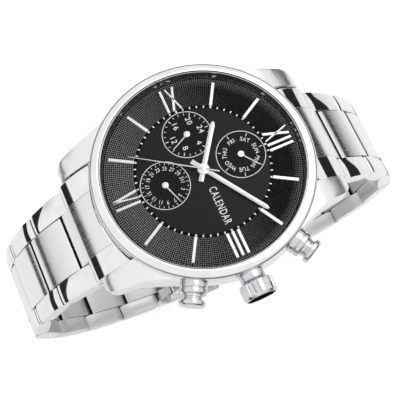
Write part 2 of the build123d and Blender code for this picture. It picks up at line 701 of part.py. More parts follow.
def curved_plate(start, end, outer, thick, half_in, half_out):
    """A plate on the clasp's curve from y start to end; with half_in it is a pair of side strips."""
    inner = outer - thick
    middle = (start + end) / 2
    with BuildPart() as plate:
        with BuildSketch(Plane.YZ):
            with BuildLine():
                ThreePointArc((start, clasp_z(start, outer)), (middle, clasp_z(middle, outer)),
                              (end, clasp_z(end, outer)))
                Line((end, clasp_z(end, outer)), (end, clasp_z(end, inner)))
                ThreePointArc((end, clasp_z(end, inner)), (middle, clasp_z(middle, inner)),
                              (start, clasp_z(start, inner)))
                Line((start, clasp_z(start, inner)), (start, clasp_z(start, outer)))
            make_face()
        extrude(amount=half_out, both=True)
        if half_in:
            with BuildSketch(Plane.YZ):
                with Locations((middle, clasp_z(middle, outer))):
                    Rectangle(end - start + 20, 40)
            extrude(amount=half_in, both=True, mode=Mode.SUBTRACT)
    return plate.part


def cross_rod(y, z, radius, half_in, half_out):
    """A rod across the bracelet; with half_in it is a pair of knuckles."""
    with BuildPart() as bar:
        with BuildSketch(Plane.YZ.offset(half_in)):
            with Locations((y, z)):
                Circle(radius)
        extrude(amount=half_out - half_in)
        mirror(about=Plane.YZ)
    return bar.part


FOLD_HINGE = (FOLD_Y, clasp_z(FOLD_Y, BLADE_R - 0.3))
TURN_HINGE = (TURN_Y, clasp_z(TURN_Y, BLADE_R - BLADE_THICK - BLADE_GAP / 2))
INNER_BLADE_R = BLADE_R - BLADE_THICK - BLADE_GAP
INNER_START = -12.5         # y where the inner blade's flat part ends
KNUCKLE_R = 0.9
BLADE_PIN_R = 0.4
BLADE_HALF = 5.0
TAB_HALF = 2.5
WALL_IN = CLASP_HALF - 1.0
BUTTON_Y = -1.2
BUTTON_Z = clasp_z(BUTTON_Y, 58.4)
BUTTON_LONG = 4.2
BUTTON_HIGH = 2.2


def button_bar(start, end, long, high):
    """A rounded bar along +X through the place of a push button."""
    with BuildPart() as bar:
        with BuildSketch(Plane.YZ.offset(start)):
            with Locations((BUTTON_Y, BUTTON_Z)):
                RectangleRounded(long, high, high / 2 - 0.1)
        extrude(amount=end - start)
    return bar.part


def make_clasp_cover():
    """The outer shell: a curved plate with side walls and the ears of the last hinge."""
    ear_in = CENTRE_HALF + ROW_GAP
    with BuildPart() as clasp_cover:
        add(curved_plate(COVER_START, END_Y - 1.7, COVER_R, COVER_THICK, 0, CLASP_HALF))
        add(curved_plate(COVER_START, END_Y, COVER_R, COVER_THICK, ear_in, CLASP_HALF))
        add(curved_plate(-15.5, COVER_START, COVER_R, 0.5, ear_in, CLASP_HALF))
        add(curved_plate(-12.0, END_Y - 1.7, COVER_R, 4.9, WALL_IN, CLASP_HALF))
        add(curved_plate(END_Y - 3.0, END_Y, COVER_R, LINK_THICK, ear_in, CLASP_HALF))
        add(cross_rod(END_Y, END_Z, LINK_THICK / 2, ear_in, CLASP_HALF))
        add(cross_rod(END_Y, END_Z, PIN_R + RUN, 0, CLASP_HALF + 1), mode=Mode.SUBTRACT)
        add(cross_rod(END_Y, END_Z, PIN_R, 0, CLASP_HALF - 0.35))
        add(cross_rod(*FOLD_HINGE, BLADE_PIN_R, 0, CLASP_HALF - 0.3))
        hole = button_bar(WALL_IN - 1, CLASP_HALF + 1, BUTTON_LONG + 2 * RUN, BUTTON_HIGH + 2 * RUN)
        add(hole, mode=Mode.SUBTRACT)
        add(hole.mirror(Plane.YZ), mode=Mode.SUBTRACT)
    save(clasp_cover, "clasp_cover")


def make_clasp_blades():
    """The two folding blades; the inner one ends in open ears at the bracelet's 6 o'clock side."""
    with BuildPart() as long_blade:
        add(curved_plate(FOLD_Y, TURN_Y - 1.2, BLADE_R, BLADE_THICK, 0, BLADE_HALF))
        add(curved_plate(FOLD_Y, TURN_Y, BLADE_R, BLADE_THICK, 0, TAB_HALF))
        add(cross_rod(*FOLD_HINGE, KNUCKLE_R, 0, BLADE_HALF))
        add(cross_rod(*TURN_HINGE, KNUCKLE_R, 0, TAB_HALF))
        add(cross_rod(*FOLD_HINGE, BLADE_PIN_R + RUN, 0, BLADE_HALF + 1), mode=Mode.SUBTRACT)
        add(cross_rod(*TURN_HINGE, BLADE_PIN_R, 0, BLADE_HALF - 0.2))
    save(long_blade, "clasp_long_blade")
    ear_in = CENTRE_HALF + ROW_GAP
    ear_out = WALL_IN - 0.2
    with BuildPart() as inner_blade:
        add(curved_plate(INNER_START, TURN_Y, INNER_BLADE_R, BLADE_THICK, 0, BLADE_HALF))
        add(curved_plate(INNER_START, -11.3, INNER_BLADE_R, BLADE_THICK, 0, ear_out))
        add(curved_plate(-END_Y, -11.3, INNER_BLADE_R + 2.6, 3.6, ear_in, ear_out))
        add(cross_rod(-END_Y, END_Z, 0.85, ear_in, ear_out))
        add(cross_rod(*TURN_HINGE, KNUCKLE_R, TAB_HALF + 0.1, BLADE_HALF))
        add(cross_rod(*TURN_HINGE, KNUCKLE_R + 0.2, 0, TAB_HALF + 0.1), mode=Mode.SUBTRACT)
        add(cross_rod(*TURN_HINGE, BLADE_PIN_R + RUN, 0, BLADE_HALF + 1), mode=Mode.SUBTRACT)
        add(cross_rod(-END_Y, END_Z, 0.4, 0, ear_out + 1), mode=Mode.SUBTRACT)
    save(inner_blade, "clasp_inner_blade")


def make_clasp_buttons():
    with BuildPart() as button_3:
        add(button_bar(6.2, 10.4, BUTTON_LONG, BUTTON_HIGH))
        fillet(button_3.faces().sort_by(Axis.X)[-1].edges(), 0.4)
    save(button_3, "clasp_button_3")
    with BuildPart() as button_9:
        add(button_3.part.mirror(Plane.YZ))
    save(button_9, "clasp_button_9")


# ---------------------------------------------------------------- build
os.makedirs("parts", exist_ok=True)
make_mid_case()
make_bezel()
make_crystal()
make_gaskets()
make_flange_ring()
make_case_back()
make_dial()
make_hour_marks()
make_plates()
make_electrics()
make_train()
make_motion_work()
make_hands()
make_crown()
make_pushers()
make_bracelet()
make_spring_bars()
make_clasp_cover()
make_clasp_blades()
make_clasp_buttons()
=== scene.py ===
import json
import math

import bmesh
import bpy
from mathutils import Matrix, Vector


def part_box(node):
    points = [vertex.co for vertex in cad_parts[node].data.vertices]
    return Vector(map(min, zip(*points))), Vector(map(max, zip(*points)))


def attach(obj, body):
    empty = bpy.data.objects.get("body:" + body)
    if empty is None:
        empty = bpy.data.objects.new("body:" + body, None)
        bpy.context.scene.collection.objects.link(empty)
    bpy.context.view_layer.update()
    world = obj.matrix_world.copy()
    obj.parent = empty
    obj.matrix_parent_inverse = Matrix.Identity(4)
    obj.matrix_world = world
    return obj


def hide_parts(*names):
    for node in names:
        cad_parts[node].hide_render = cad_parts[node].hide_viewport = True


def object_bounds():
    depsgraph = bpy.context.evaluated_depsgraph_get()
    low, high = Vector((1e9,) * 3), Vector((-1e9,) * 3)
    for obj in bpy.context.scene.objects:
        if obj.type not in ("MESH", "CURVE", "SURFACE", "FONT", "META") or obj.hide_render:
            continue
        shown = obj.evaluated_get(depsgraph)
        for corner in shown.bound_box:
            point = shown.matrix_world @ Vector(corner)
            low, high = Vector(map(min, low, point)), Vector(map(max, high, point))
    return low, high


# A steel chronograph-style wristwatch. Meshes are written in millimetres in the packed
# model's frame: +X to 3 o'clock and the crown, +Y to 12 o'clock, +Z out of the dial.
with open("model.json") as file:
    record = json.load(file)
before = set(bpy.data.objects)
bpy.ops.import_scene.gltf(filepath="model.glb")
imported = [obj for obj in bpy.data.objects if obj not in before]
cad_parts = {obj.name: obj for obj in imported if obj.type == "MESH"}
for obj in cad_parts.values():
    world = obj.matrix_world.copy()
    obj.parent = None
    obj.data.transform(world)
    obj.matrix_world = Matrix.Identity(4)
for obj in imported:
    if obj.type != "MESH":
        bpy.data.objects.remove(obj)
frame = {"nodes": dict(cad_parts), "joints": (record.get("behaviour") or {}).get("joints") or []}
cad_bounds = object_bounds()

MM = 0.001
JOINTS = {joint["name"]: joint for joint in frame["joints"]}


def corners(node):
    """A CAD node's lowest and highest corners, in millimetres."""
    low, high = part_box(node)
    return low / MM, high / MM


def joint_place(name):
    """Where a joint's axis passes, in millimetres."""
    return Vector(JOINTS[name]["pos_m"]) / MM


# ---------------------------------------------------------------- places read from the frame
DIAL_Z = corners("dial_plate")[1].z
DIAL_R = corners("dial_plate")[1].x
MARK_Z = corners("hour_marks")[1].z
BEZEL_LOW, BEZEL_HIGH = corners("bezel")
BEZEL_IN_R = 19.15
LIP_WIDTH = 0.5              # the bezel's inner lip, greyer than its top
WALL_LOW_R = 18.75          # the inner wall leans out from here up to the bezel
CRYSTAL_LOW, CRYSTAL_HIGH = corners("crystal")
FLANGE_LOW, FLANGE_HIGH = corners("flange_ring")
CROWN_LOW, CROWN_HIGH = corners("crown")
CROWN_Z = (CROWN_LOW.z + CROWN_HIGH.z) / 2
SUBDIALS = {
    "day": joint_place("day_turn"),
    "twenty_four_hour": joint_place("twenty_four_hours_turn"),
    "date": joint_place("date_turn"),
}
PUSHER_ANGLES = {
    name: math.degrees(math.atan2(-JOINTS[name + "_press"]["axis"][1], -JOINTS[name + "_press"]["axis"][0]))
    for name in ("pusher_2", "pusher_4")
}
LINK_COUNT = 7
HINGES = [joint_place(f"hinge_12_{number + 1}") for number in range(LINK_COUNT + 1)]
LINK_HALVES = [corners(f"link_12_{number + 1}")[1].x for number in range(LINK_COUNT)]
LINK_HALVES.append(corners("clasp_cover")[1].x)
LINK_R = 1.5                # half the bracelet's thickness
CENTRE_HALF = 5.6           # half width of the centre row
ROW_GAP = 0.1               # groove between the rows
JOINT_GAP = 0.1             # gap across a joint
CASE_R = 21.7               # where the end links meet the case


# ---------------------------------------------------------------- materials
def new_material(name):
    """A node material: returns it, its nodes, its links and its Principled shader."""
    material = bpy.data.materials.new(name)
    material.use_nodes = True
    tree = material.node_tree
    return material, tree.nodes, tree.links, tree.nodes["Principled BSDF"]


def stretched_noise(nodes, links, scale, stretch, detail=4.0):
    """Noise in the object's millimetres, drawn out along the axes whose stretch is small."""
    coordinates = nodes.new("ShaderNodeTexCoord")
    mapping = nodes.new("ShaderNodeMapping")
    mapping.inputs["Scale"].default_value = [scale * share / MM for share in stretch]
    noise = nodes.new("ShaderNodeTexNoise")
    noise.inputs["Scale"].default_value = 1.0
    noise.inputs["Detail"].default_value = detail
    links.new(coordinates.outputs["Object"], mapping.inputs["Vector"])
    links.new(mapping.outputs["Vector"], noise.inputs["Vector"])
    return noise.outputs["Fac"]


def remap(nodes, links, value, low, high, from_low=0.3, from_high=0.7):
    """Spreads a 0-1 value over a range."""
    node = nodes.new("ShaderNodeMapRange")
    node.inputs["From Min"].default_value = from_low
    node.inputs["From Max"].default_value = from_high
    node.inputs["To Min"].default_value = low
    node.inputs["To Max"].default_value = high
    links.new(value, node.inputs["Value"])
    return node.outputs["Result"]


def calculated(nodes, links, operation, *values):
    """The result of one sum on one or two values, each of them an output or a number."""
    step = nodes.new("ShaderNodeMath")
    step.operation = operation
    for slot, value in zip(step.inputs, values):
        if isinstance(value, float):
            slot.default_value = value
        else:
            links.new(value, slot)
    return step.outputs["Value"]


def length_of(nodes, links, vector):
    """How long a vector is."""
    node = nodes.new("ShaderNodeVectorMath")
    node.operation = "LENGTH"
    links.new(vector, node.inputs[0])
    return node.outputs["Value"]


def tinted(nodes, links, value, dark, light):
    """A colour between two greys or tints, chosen by a 0-1 value."""
    mix = nodes.new("ShaderNodeMix")
    mix.data_type = "RGBA"
    mix.inputs[6].default_value = (*dark, 1)
    mix.inputs[7].default_value = (*light, 1)
    links.new(remap(nodes, links, value, 0, 1), mix.inputs["Factor"])
    return mix.outputs[2]


def bumped(nodes, links, value, strength, distance_mm):
    """A bump from a value."""
    bump = nodes.new("ShaderNodeBump")
    bump.inputs["Strength"].default_value = strength
    bump.inputs["Distance"].default_value = distance_mm * MM
    links.new(value, bump.inputs["Height"])
    return bump.outputs["Normal"]


def metal(name, dark, light, rough_low, rough_high, grain=0.35, stretch=(1, 1, 1), bump=0.0, anisotropic=0.0):
    """A metal whose colour, roughness and fine bump follow one drawn-out noise."""
    material, nodes, links, shader = new_material(name)
    shader.inputs["Metallic"].default_value = 1.0
    value = stretched_noise(nodes, links, grain, stretch)
    links.new(tinted(nodes, links, value, dark, light), shader.inputs["Base Color"])
    links.new(remap(nodes, links, value, rough_low, rough_high), shader.inputs["Roughness"])
    if bump:
        links.new(bumped(nodes, links, value, bump, 0.02), shader.inputs["Normal"])
    if anisotropic:
        tangent = nodes.new("ShaderNodeCombineXYZ")
        tangent.inputs["X"].default_value = 1.0
        shader.inputs["Anisotropic"].default_value = anisotropic
        links.new(tangent.outputs["Vector"], shader.inputs["Tangent"])
    return material


def coating(name, dark, light, rough_low, rough_high, grain=2.0, stretch=(1, 1, 1), bump=0.0, specular=0.5):
    """A paint, lacquer, rubber or plastic with a slightly uneven colour and gloss."""
    material, nodes, links, shader = new_material(name)
    value = stretched_noise(nodes, links, grain, stretch)
    shader.inputs["Specular IOR Level"].default_value = specular
    links.new(tinted(nodes, links, value, dark, light), shader.inputs["Base Color"])
    links.new(remap(nodes, links, value, rough_low, rough_high), shader.inputs["Roughness"])
    if bump:
        links.new(bumped(nodes, links, value, bump, 0.02), shader.inputs["Normal"])
    return material


def crystal_material():
    """Clear glass with an anti-reflection coat: see-through, turning to a mirror at grazing angles."""
    material, nodes, links, shader = new_material("clear_crystal")
    nodes.remove(shader)
    fresnel = nodes.new("ShaderNodeFresnel")
    fresnel.inputs["IOR"].default_value = 1.25
    smear = stretched_noise(nodes, links, 0.15, (1, 1, 1))
    clear = nodes.new("ShaderNodeBsdfTransparent")
    clear.inputs["Color"].default_value = (0.985, 0.99, 0.99, 1)
    mirror = nodes.new("ShaderNodeBsdfGlossy")
    links.new(remap(nodes, links, smear, 0.0, 0.03), mirror.inputs["Roughness"])
    mix = nodes.new("ShaderNodeMixShader")
    geometry = nodes.new("ShaderNodeNewGeometry")
    outside = remap(nodes, links, geometry.outputs["Backfacing"], 1.0, 0.0, 0.0, 1.0)
    grazing = remap(nodes, links, fresnel.outputs["Fac"], 0.0, 1.0, 0.03, 1.0)
    links.new(calculated(nodes, links, "MULTIPLY", grazing, outside), mix.inputs["Fac"])
    links.new(clear.outputs["BSDF"], mix.inputs[1])
    links.new(mirror.outputs["BSDF"], mix.inputs[2])
    links.new(mix.outputs["Shader"], nodes["Material Output"].inputs["Surface"])
    return material


def stamped_material():
    """Black lacquer with a painted highlight on the points of the stamped pattern, stronger towards 6 o'clock
    and the rim.
    """
    material, nodes, links, shader = new_material("stamped_black")
    coordinates = nodes.new("ShaderNodeTexCoord")
    parts = nodes.new("ShaderNodeSeparateXYZ")
    links.new(coordinates.outputs["Object"], parts.inputs["Vector"])
    height = remap(nodes, links, parts.outputs["Z"], 0, 1, (DIAL_Z - 0.05) * MM, (DIAL_Z + 0.03) * MM)
    uneven = remap(nodes, links, stretched_noise(nodes, links, 4.0, (1, 1, 1)), 0.6, 1.0)
    flat = nodes.new("ShaderNodeVectorMath")
    flat.operation = "MULTIPLY"
    flat.inputs[1].default_value = (1, 1, 0)
    links.new(coordinates.outputs["Object"], flat.inputs[0])
    radius = length_of(nodes, links, flat.outputs["Vector"])
    # painted highlight: the points are drawn brighter towards 6 o'clock and towards the rim
    towards_6 = remap(nodes, links, parts.outputs["Y"], 0.8, 0.06, -15 * MM, 10 * MM)
    towards_rim = remap(nodes, links, radius, 0.0, 0.7, 16.6 * MM, 18.6 * MM)
    painted_highlight_share = calculated(nodes, links, "MAXIMUM", towards_6, towards_rim)
    share = calculated(nodes, links, "MULTIPLY", painted_highlight_share, uneven)
    # the painted highlight is strongest on the pyramids' raised points
    point = calculated(nodes, links, "MULTIPLY", calculated(nodes, links, "POWER", height, 1.6), share)
    ramp = nodes.new("ShaderNodeValToRGB")
    ramp.color_ramp.elements[0].color = (0.002, 0.002, 0.002, 1)
    ramp.color_ramp.elements[1].color = (0.5, 0.5, 0.51, 1)
    links.new(point, ramp.inputs["Fac"])
    links.new(ramp.outputs["Color"], shader.inputs["Base Color"])
    shader.inputs["Roughness"].default_value = 0.45
    shader.inputs["Specular IOR Level"].default_value = 0.1
    return material


STEEL_DARK = (0.80, 0.81, 0.82)
STEEL_LIGHT = (0.90, 0.90, 0.91)
ALONG_BRACELET = (1, 0.025, 0.025)     # brush lines run along the bracelet, so they change only across it
polished = metal("polished_steel", STEEL_DARK, STEEL_LIGHT, 0.02, 0.05)
brushed = metal("brushed_steel", (0.80, 0.81, 0.82), (0.90, 0.90, 0.91), 0.18, 0.28, 7.0, ALONG_BRACELET,
                0.08, 0.75)
satin = metal("satin_silver", (0.62, 0.62, 0.63), (0.70, 0.70, 0.71), 0.2, 0.28, 2.0, (1, 1, 1), 0.02)
wall_steel = metal("wall_steel", (0.46, 0.46, 0.47), (0.60, 0.60, 0.61), 0.10, 0.16, 2.0)
turned_steel = metal("turned_steel", (0.60, 0.61, 0.62), (0.74, 0.75, 0.76), 0.03, 0.07, 3.0)
case_steel = metal("case_steel", (0.84, 0.85, 0.86), (0.87, 0.87, 0.88), 0.25, 0.29, 1.0)
# near-black steel: painted shade for faces inside the joints and grooves, where shade falls
painted_shade_steel = metal("painted_shade_steel", (0.02, 0.02, 0.02), (0.05, 0.05, 0.05), 0.5, 0.65, 3.0)
inside_steel = metal("inside_steel", (0.74, 0.75, 0.76), (0.84, 0.84, 0.85), 0.32, 0.42, 7.0,
                     ALONG_BRACELET, 0.05)
blade_steel = metal("blade_steel", (0.56, 0.57, 0.58), (0.68, 0.69, 0.70), 0.36, 0.48, 6.0, ALONG_BRACELET,
                    0.1)
back_steel = metal("back_steel", (0.72, 0.73, 0.74), (0.84, 0.84, 0.85), 0.18, 0.32, 6.0, (1, 0.03, 1), 0.12)
tool_steel = metal("tool_steel", (0.50, 0.51, 0.53), (0.64, 0.65, 0.66), 0.22, 0.4, 4.0, (1, 1, 1), 0.1)
cell_steel = metal("cell_steel", (0.62, 0.62, 0.62), (0.76, 0.76, 0.75), 0.25, 0.4, 3.0, (1, 0.1, 1), 0.1)
brass = metal("plated_brass", (0.72, 0.60, 0.36), (0.84, 0.72, 0.48), 0.18, 0.3, 4.0, (1, 0.1, 1), 0.1)
wheel_brass = metal("wheel_brass", (0.78, 0.60, 0.28), (0.90, 0.72, 0.38), 0.15, 0.3, 6.0, (1, 1, 1), 0.1)
copper = metal("copper_wire", (0.60, 0.26, 0.12), (0.80, 0.40, 0.22), 0.2, 0.38, 6.0, (0.1, 3, 0.1), 0.5)
lacquer = coating("black_lacquer", (0.012, 0.012, 0.0125), (0.017, 0.017, 0.018), 0.35, 0.5, 3.0, (1, 1, 1),
                  0.0, 0.12)
track_black = coating("track_black", (0.003, 0.003, 0.003), (0.006, 0.006, 0.006), 0.5, 0.6, 3.0, (1, 1, 1),
                      0.0, 0.05)
stamped = stamped_material()
enamel = coating("black_enamel", (0.004, 0.004, 0.004), (0.008, 0.008, 0.008), 0.35, 0.5, 2.0, (1, 1, 1),
                 0.0, 0.12)
cap_black = coating("cap_black", (0.003, 0.003, 0.003), (0.007, 0.007, 0.007), 0.6, 0.7, 2.0, (1, 1, 1),
                    0.0, 0.0)
print_white = coating("dial_print", (0.80, 0.80, 0.80), (0.90, 0.90, 0.90), 0.45, 0.6, 9.0, (1, 1, 1), 0.05)
rubber = coating("seal_rubber", (0.015, 0.015, 0.016), (0.03, 0.03, 0.03), 0.6, 0.8, 3.0, (1, 1, 1), 0.2)
plastic = coating("white_plastic", (0.70, 0.69, 0.66), (0.80, 0.79, 0.76), 0.4, 0.55, 1.0, (1, 1, 1), 0.1)
board = coating("board_green", (0.02, 0.11, 0.05), (0.04, 0.20, 0.09), 0.3, 0.5, 1.5, (1, 1, 1), 0.2)
crystal_clear = crystal_material()


# ---------------------------------------------------------------- mesh tools
def new_piece(name, body, slot, material, verts, faces, replaces=(), bevel=0.0, sharp=32):
    """A mesh piece, given in millimetres, that rides on a body; bevel rounds its sharp edges."""
    mesh = bpy.data.meshes.new(name)
    mesh.from_pydata([Vector(vert) * MM for vert in verts], [], [list(face) for face in faces])
    work = bmesh.new()
    work.from_mesh(mesh)
    bmesh.ops.recalc_face_normals(work, faces=work.faces)
    work.to_mesh(mesh)
    work.free()
    return finished(name, body, material, mesh, replaces, bevel, sharp)


def finished(name, body, material, mesh, replaces=(), bevel=0.0, sharp=32):
    """Puts a mesh in the scene, smooth shaded with crisp or bevelled edges, riding on its body."""
    mesh.materials.clear()
    mesh.materials.append(material)
    mesh.polygons.foreach_set("use_smooth", [True] * len(mesh.polygons))
    piece = bpy.data.objects.new(name, mesh)
    bpy.context.scene.collection.objects.link(piece)
    if bevel:
        rim = piece.modifiers.new("rim", "BEVEL")
        rim.width = bevel * MM
        rim.segments = 3
        rim.limit_method = "ANGLE"
        rim.angle_limit = math.radians(sharp)
        rim.harden_normals = True
        rim.miter_outer = "MITER_ARC"
    else:
        mesh.set_sharp_from_angle(angle=math.radians(sharp))
    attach(piece, body)
    if replaces:
        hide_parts(*replaces)
    return piece


def rounded(points, radius, steps=4):
    """A closed outline whose corners are turned into short curves."""
    outline = []
    for index, point in enumerate(points):
        corner = Vector(point)
        back = Vector(points[index - 1]) - corner
        ahead = Vector(points[(index + 1) % len(points)]) - corner
        if corner.x < 1e-6:
            outline.append(corner)
            continue
        start = corner + back.normalized() * min(radius, 0.45 * back.length)
        end = corner + ahead.normalized() * min(radius, 0.45 * ahead.length)
        for step in range(steps + 1):
            share = step / steps
            outline.append(start * (1 - share) ** 2 + corner * 2 * share * (1 - share) + end * share**2)
    return outline


def lathe(profile, segments=180):
    """A closed profile of (radius, height) points turned about the Z axis."""
    verts = []
    rings = []
    for radius, height in profile:
        if radius < 1e-6:
            rings.append([len(verts)] * segments)
            verts.append((0, 0, height))
            continue
        rings.append(range(len(verts), len(verts) + segments))
        for step in range(segments):
            turn = 2 * math.pi * step / segments
            verts.append((radius * math.cos(turn), radius * math.sin(turn), height))
    faces = []
    for ring, following in zip(rings, rings[1:] + rings[:1]):
        for step in range(segments):
            after = (step + 1) % segments
            face = list(dict.fromkeys((ring[step], ring[after], following[after], following[step])))
            if len(face) > 2:
                faces.append(face)
    return verts, faces


def moved(verts, matrix):
    return [matrix @ Vector(vert) for vert in verts]


def joined(*solids):
    """Several (vertices, faces) solids as one."""
    verts = []
    faces = []
    for more_verts, more_faces in solids:
        start = len(verts)
        verts += [Vector(vert) for vert in more_verts]
        faces += [[corner + start for corner in face] for face in more_faces]
    return verts, faces


def loft(stations):
    """Skins a row of closed outlines that have the same number of points, and caps both ends."""
    count = len(stations[0])
    verts = [point for station in stations for point in station]
    faces = []
    for row in range(len(stations) - 1):
        for index in range(count):
            after = (index + 1) % count
            faces.append((row * count + index, row * count + after,
                          (row + 1) * count + after, (row + 1) * count + index))
    faces.append(list(range(count)))
    faces.append(list(range((len(stations) - 1) * count, len(stations) * count)))
    return verts, faces


def radial(degrees, height):
    """Maps a piece turned about Z onto a radial axis of the case, pointing outward."""
    turn = math.radians(degrees)
    outward = Vector((math.cos(turn), math.sin(turn), 0))
    across = Vector((-math.sin(turn), math.cos(turn), 0))
    matrix = Matrix((across, Vector((0, 0, 1)), outward)).transposed().to_4x4()
    return Matrix.Translation((0, 0, height)) @ matrix


def dial_point(distance, heading, height):
    """A point on the dial: heading is in degrees clockwise from 12 o'clock."""
    turn = math.radians(heading)
    return Vector((distance * math.sin(turn), distance * math.cos(turn), height))


def on_dial(heading, centre=(0, 0)):
    """Turns a piece drawn with its length along +Y to a heading about a centre on the dial."""
    return Matrix.Translation((centre[0], centre[1], 0)) @ Matrix.Rotation(-math.radians(heading), 4, "Z")


def prism(outline, low, high):
    """A flat outline of (x, y) points raised from one height to another."""
    return loft([[Vector((x, y, low)) for x, y in outline], [Vector((x, y, high)) for x, y in outline]])


def refined_copy(node, name, body, material, bevel=0.06):
    """A CAD node's mesh welded, with its flat faces merged and its edges rounded."""
    work = bmesh.new()
    work.from_mesh(frame["nodes"][node].data)
    bmesh.ops.remove_doubles(work, verts=work.verts, dist=1e-6)
    bmesh.ops.dissolve_limit(work, angle_limit=math.radians(0.3), verts=work.verts, edges=work.edges)
    bmesh.ops.recalc_face_normals(work, faces=work.faces)
    mesh = bpy.data.meshes.new(name)
    work.to_mesh(mesh)
    work.free()
    return finished(name, body, material, mesh, (node,), bevel)


# ---------------------------------------------------------------- case
def make_case():
    refined_copy("mid_case", "mid_case_body", "head", case_steel)
    refined_copy("case_back", "case_back_plate", "head", back_steel, 0.08)
    outer = BEZEL_HIGH.x
    top = BEZEL_HIGH.z
    inner = BEZEL_IN_R
    low = BEZEL_LOW.z
    profile = [(outer - 0.8, low), (outer - 0.8, low + 0.14), (outer - 0.3, low + 0.18)]
    for step in range(17):
        turn = math.radians(-35 + step * 118 / 16)
        profile.append((outer - 0.95 + 0.95 * math.cos(turn), top - 1.1 + 1.02 * math.sin(turn)))
    profile += [(inner + 0.62, top), (inner + 0.42, top - 0.03), (inner + 0.36, top - 0.12),
                (inner + 0.34, top - 0.42), (inner + 0.22, top - 0.42), (inner + 0.2, top - 0.14),
                (inner + 0.14, top - 0.09), (inner + 0.04, top - 0.14), (inner, top - 0.24),
                (inner, top - 0.42)]
    profile += [(inner + 0.05, top - 0.6), (inner + 0.4, CRYSTAL_LOW.z), (inner + 0.8, CRYSTAL_LOW.z),
                (inner + 0.8, low)]
    ring = new_piece("bezel_ring", "head", "polished_steel", polished, *lathe(profile, 240),
                     replaces=("bezel",))
    ring.data.materials.append(wall_steel)
    for face in ring.data.polygons:
        if face.center.xy.length < (inner + LIP_WIDTH) * MM:
            face.material_index = 1
    wall = [(inner, FLANGE_HIGH.z), (FLANGE_HIGH.x, FLANGE_HIGH.z), (FLANGE_HIGH.x, FLANGE_LOW.z),
            (WALL_LOW_R, FLANGE_LOW.z)]
    new_piece("inner_wall", "head", "polished_steel", wall_steel, *lathe(rounded(wall, 0.05), 240),
              replaces=("flange_ring",))
    glass = [(0, CRYSTAL_LOW.z), (CRYSTAL_HIGH.x, CRYSTAL_LOW.z), (CRYSTAL_HIGH.x, CRYSTAL_HIGH.z - 0.15),
             (CRYSTAL_HIGH.x - 0.15, CRYSTAL_HIGH.z), (0, CRYSTAL_HIGH.z)]
    new_piece("crystal_disc", "head", "crystal_glass", crystal_clear, *lathe(rounded(glass, 0.04), 240),
              replaces=("crystal",))


# ---------------------------------------------------------------- dial
CENTRE_DISC_R = 12.55       # the plain centre disc
TRACK_OUT_R = 13.1          # the sloped minute track runs from the disc to here
STAMPED_OUT_R = 18.7        # the stamped pattern runs from the track to here
STAMPED_ROWS = 15
STAMPED_COLUMNS = 270
STAMPED_TOP = 0.34          # a pyramid's flat top, as a share of its base
FLOOR_Z = DIAL_Z - 0.07     # the level of the stamped ring's valleys
PRINT = 0.012               # thickness of the printing


def make_dial_plate():
    low = corners("dial_plate")[0].z
    profile = [(0, DIAL_Z), (CENTRE_DISC_R, DIAL_Z), (CENTRE_DISC_R + 0.06, DIAL_Z - 0.02),
               (TRACK_OUT_R - 0.05, FLOOR_Z + 0.02), (TRACK_OUT_R, FLOOR_Z), (DIAL_R, FLOOR_Z),
               (DIAL_R, low), (0, low)]
    new_piece("dial_disc", "head", "black_dial", lacquer, *lathe(profile, 240), replaces=("dial_plate",))


def make_stamped_ring():
    """Rows of small flat-topped pyramids round the dial."""
    verts = []
    faces = []
    depth = (STAMPED_OUT_R - TRACK_OUT_R) / STAMPED_ROWS
    for row in range(STAMPED_ROWS + 1):
        for column in range(STAMPED_COLUMNS):
            verts.append(dial_point(TRACK_OUT_R + row * depth, column * 360 / STAMPED_COLUMNS, FLOOR_Z))
    for row in range(STAMPED_ROWS):
        for column in range(STAMPED_COLUMNS):
            after = (column + 1) % STAMPED_COLUMNS
            top = len(verts)
            for out, across in ((-1, -1), (-1, 1), (1, 1), (1, -1)):
                verts.append(dial_point(TRACK_OUT_R + (row + 0.5 + out * STAMPED_TOP / 2) * depth,
                                        (column + 0.5 + across * STAMPED_TOP / 2) * 360 / STAMPED_COLUMNS,
                                        DIAL_Z + 0.03))
            base = [row * STAMPED_COLUMNS + column, row * STAMPED_COLUMNS + after,
                    (row + 1) * STAMPED_COLUMNS + after, (row + 1) * STAMPED_COLUMNS + column]
            for side in range(4):
                following = (side + 1) % 4
                faces.append((base[side], base[following], top + following, top + side))
            faces.append((top, top + 1, top + 2, top + 3))
    under = len(verts)
    for radius in (TRACK_OUT_R, STAMPED_OUT_R):
        for column in range(STAMPED_COLUMNS):
            verts.append(dial_point(radius, column * 360 / STAMPED_COLUMNS, FLOOR_Z - 0.05))
    last = STAMPED_ROWS * STAMPED_COLUMNS
    for column in range(STAMPED_COLUMNS):
        after = (column + 1) % STAMPED_COLUMNS
        inner, inner_after = under + column, under + after
        outer, outer_after = inner + STAMPED_COLUMNS, inner_after + STAMPED_COLUMNS
        faces.append((inner, inner_after, outer_after, outer))
        faces.append((column, after, inner_after, inner))
        faces.append((last + column, last + after, outer_after, outer))
    new_piece("stamped_ring", "head", "black_dial", stamped, verts, faces, sharp=10)


def make_track_band():
    """The black band under the minute track."""
    band = [(CENTRE_DISC_R, DIAL_Z - 0.05), (CENTRE_DISC_R, DIAL_Z + 0.004), (TRACK_OUT_R, DIAL_Z + 0.004),
             (TRACK_OUT_R, DIAL_Z - 0.08)]
    new_piece("track_band", "head", "black_dial", track_black, *lathe(band, 240))


def tick(heading, start, end, width, centre=(0, 0), low=0.0):
    """A printed line along a heading, standing on the dial plus low."""
    half = width / 2
    outline = [(-half, start), (half, start), (half, end), (-half, end)]
    verts, faces = prism(outline, DIAL_Z + low - 0.01, DIAL_Z + low + PRINT)
    return moved(verts, on_dial(heading, centre)), faces


def make_minute_track():
    """Sixty short lines on the track, longer at each hour."""
    solids = []
    for minute in range(60):
        wide = 0.34 if minute % 5 == 0 else 0.24
        solids.append(tick(minute * 6, 12.62, 13.04, wide, low=0.01))
    new_piece("minute_track", "head", "white_plastic", print_white, *joined(*solids))


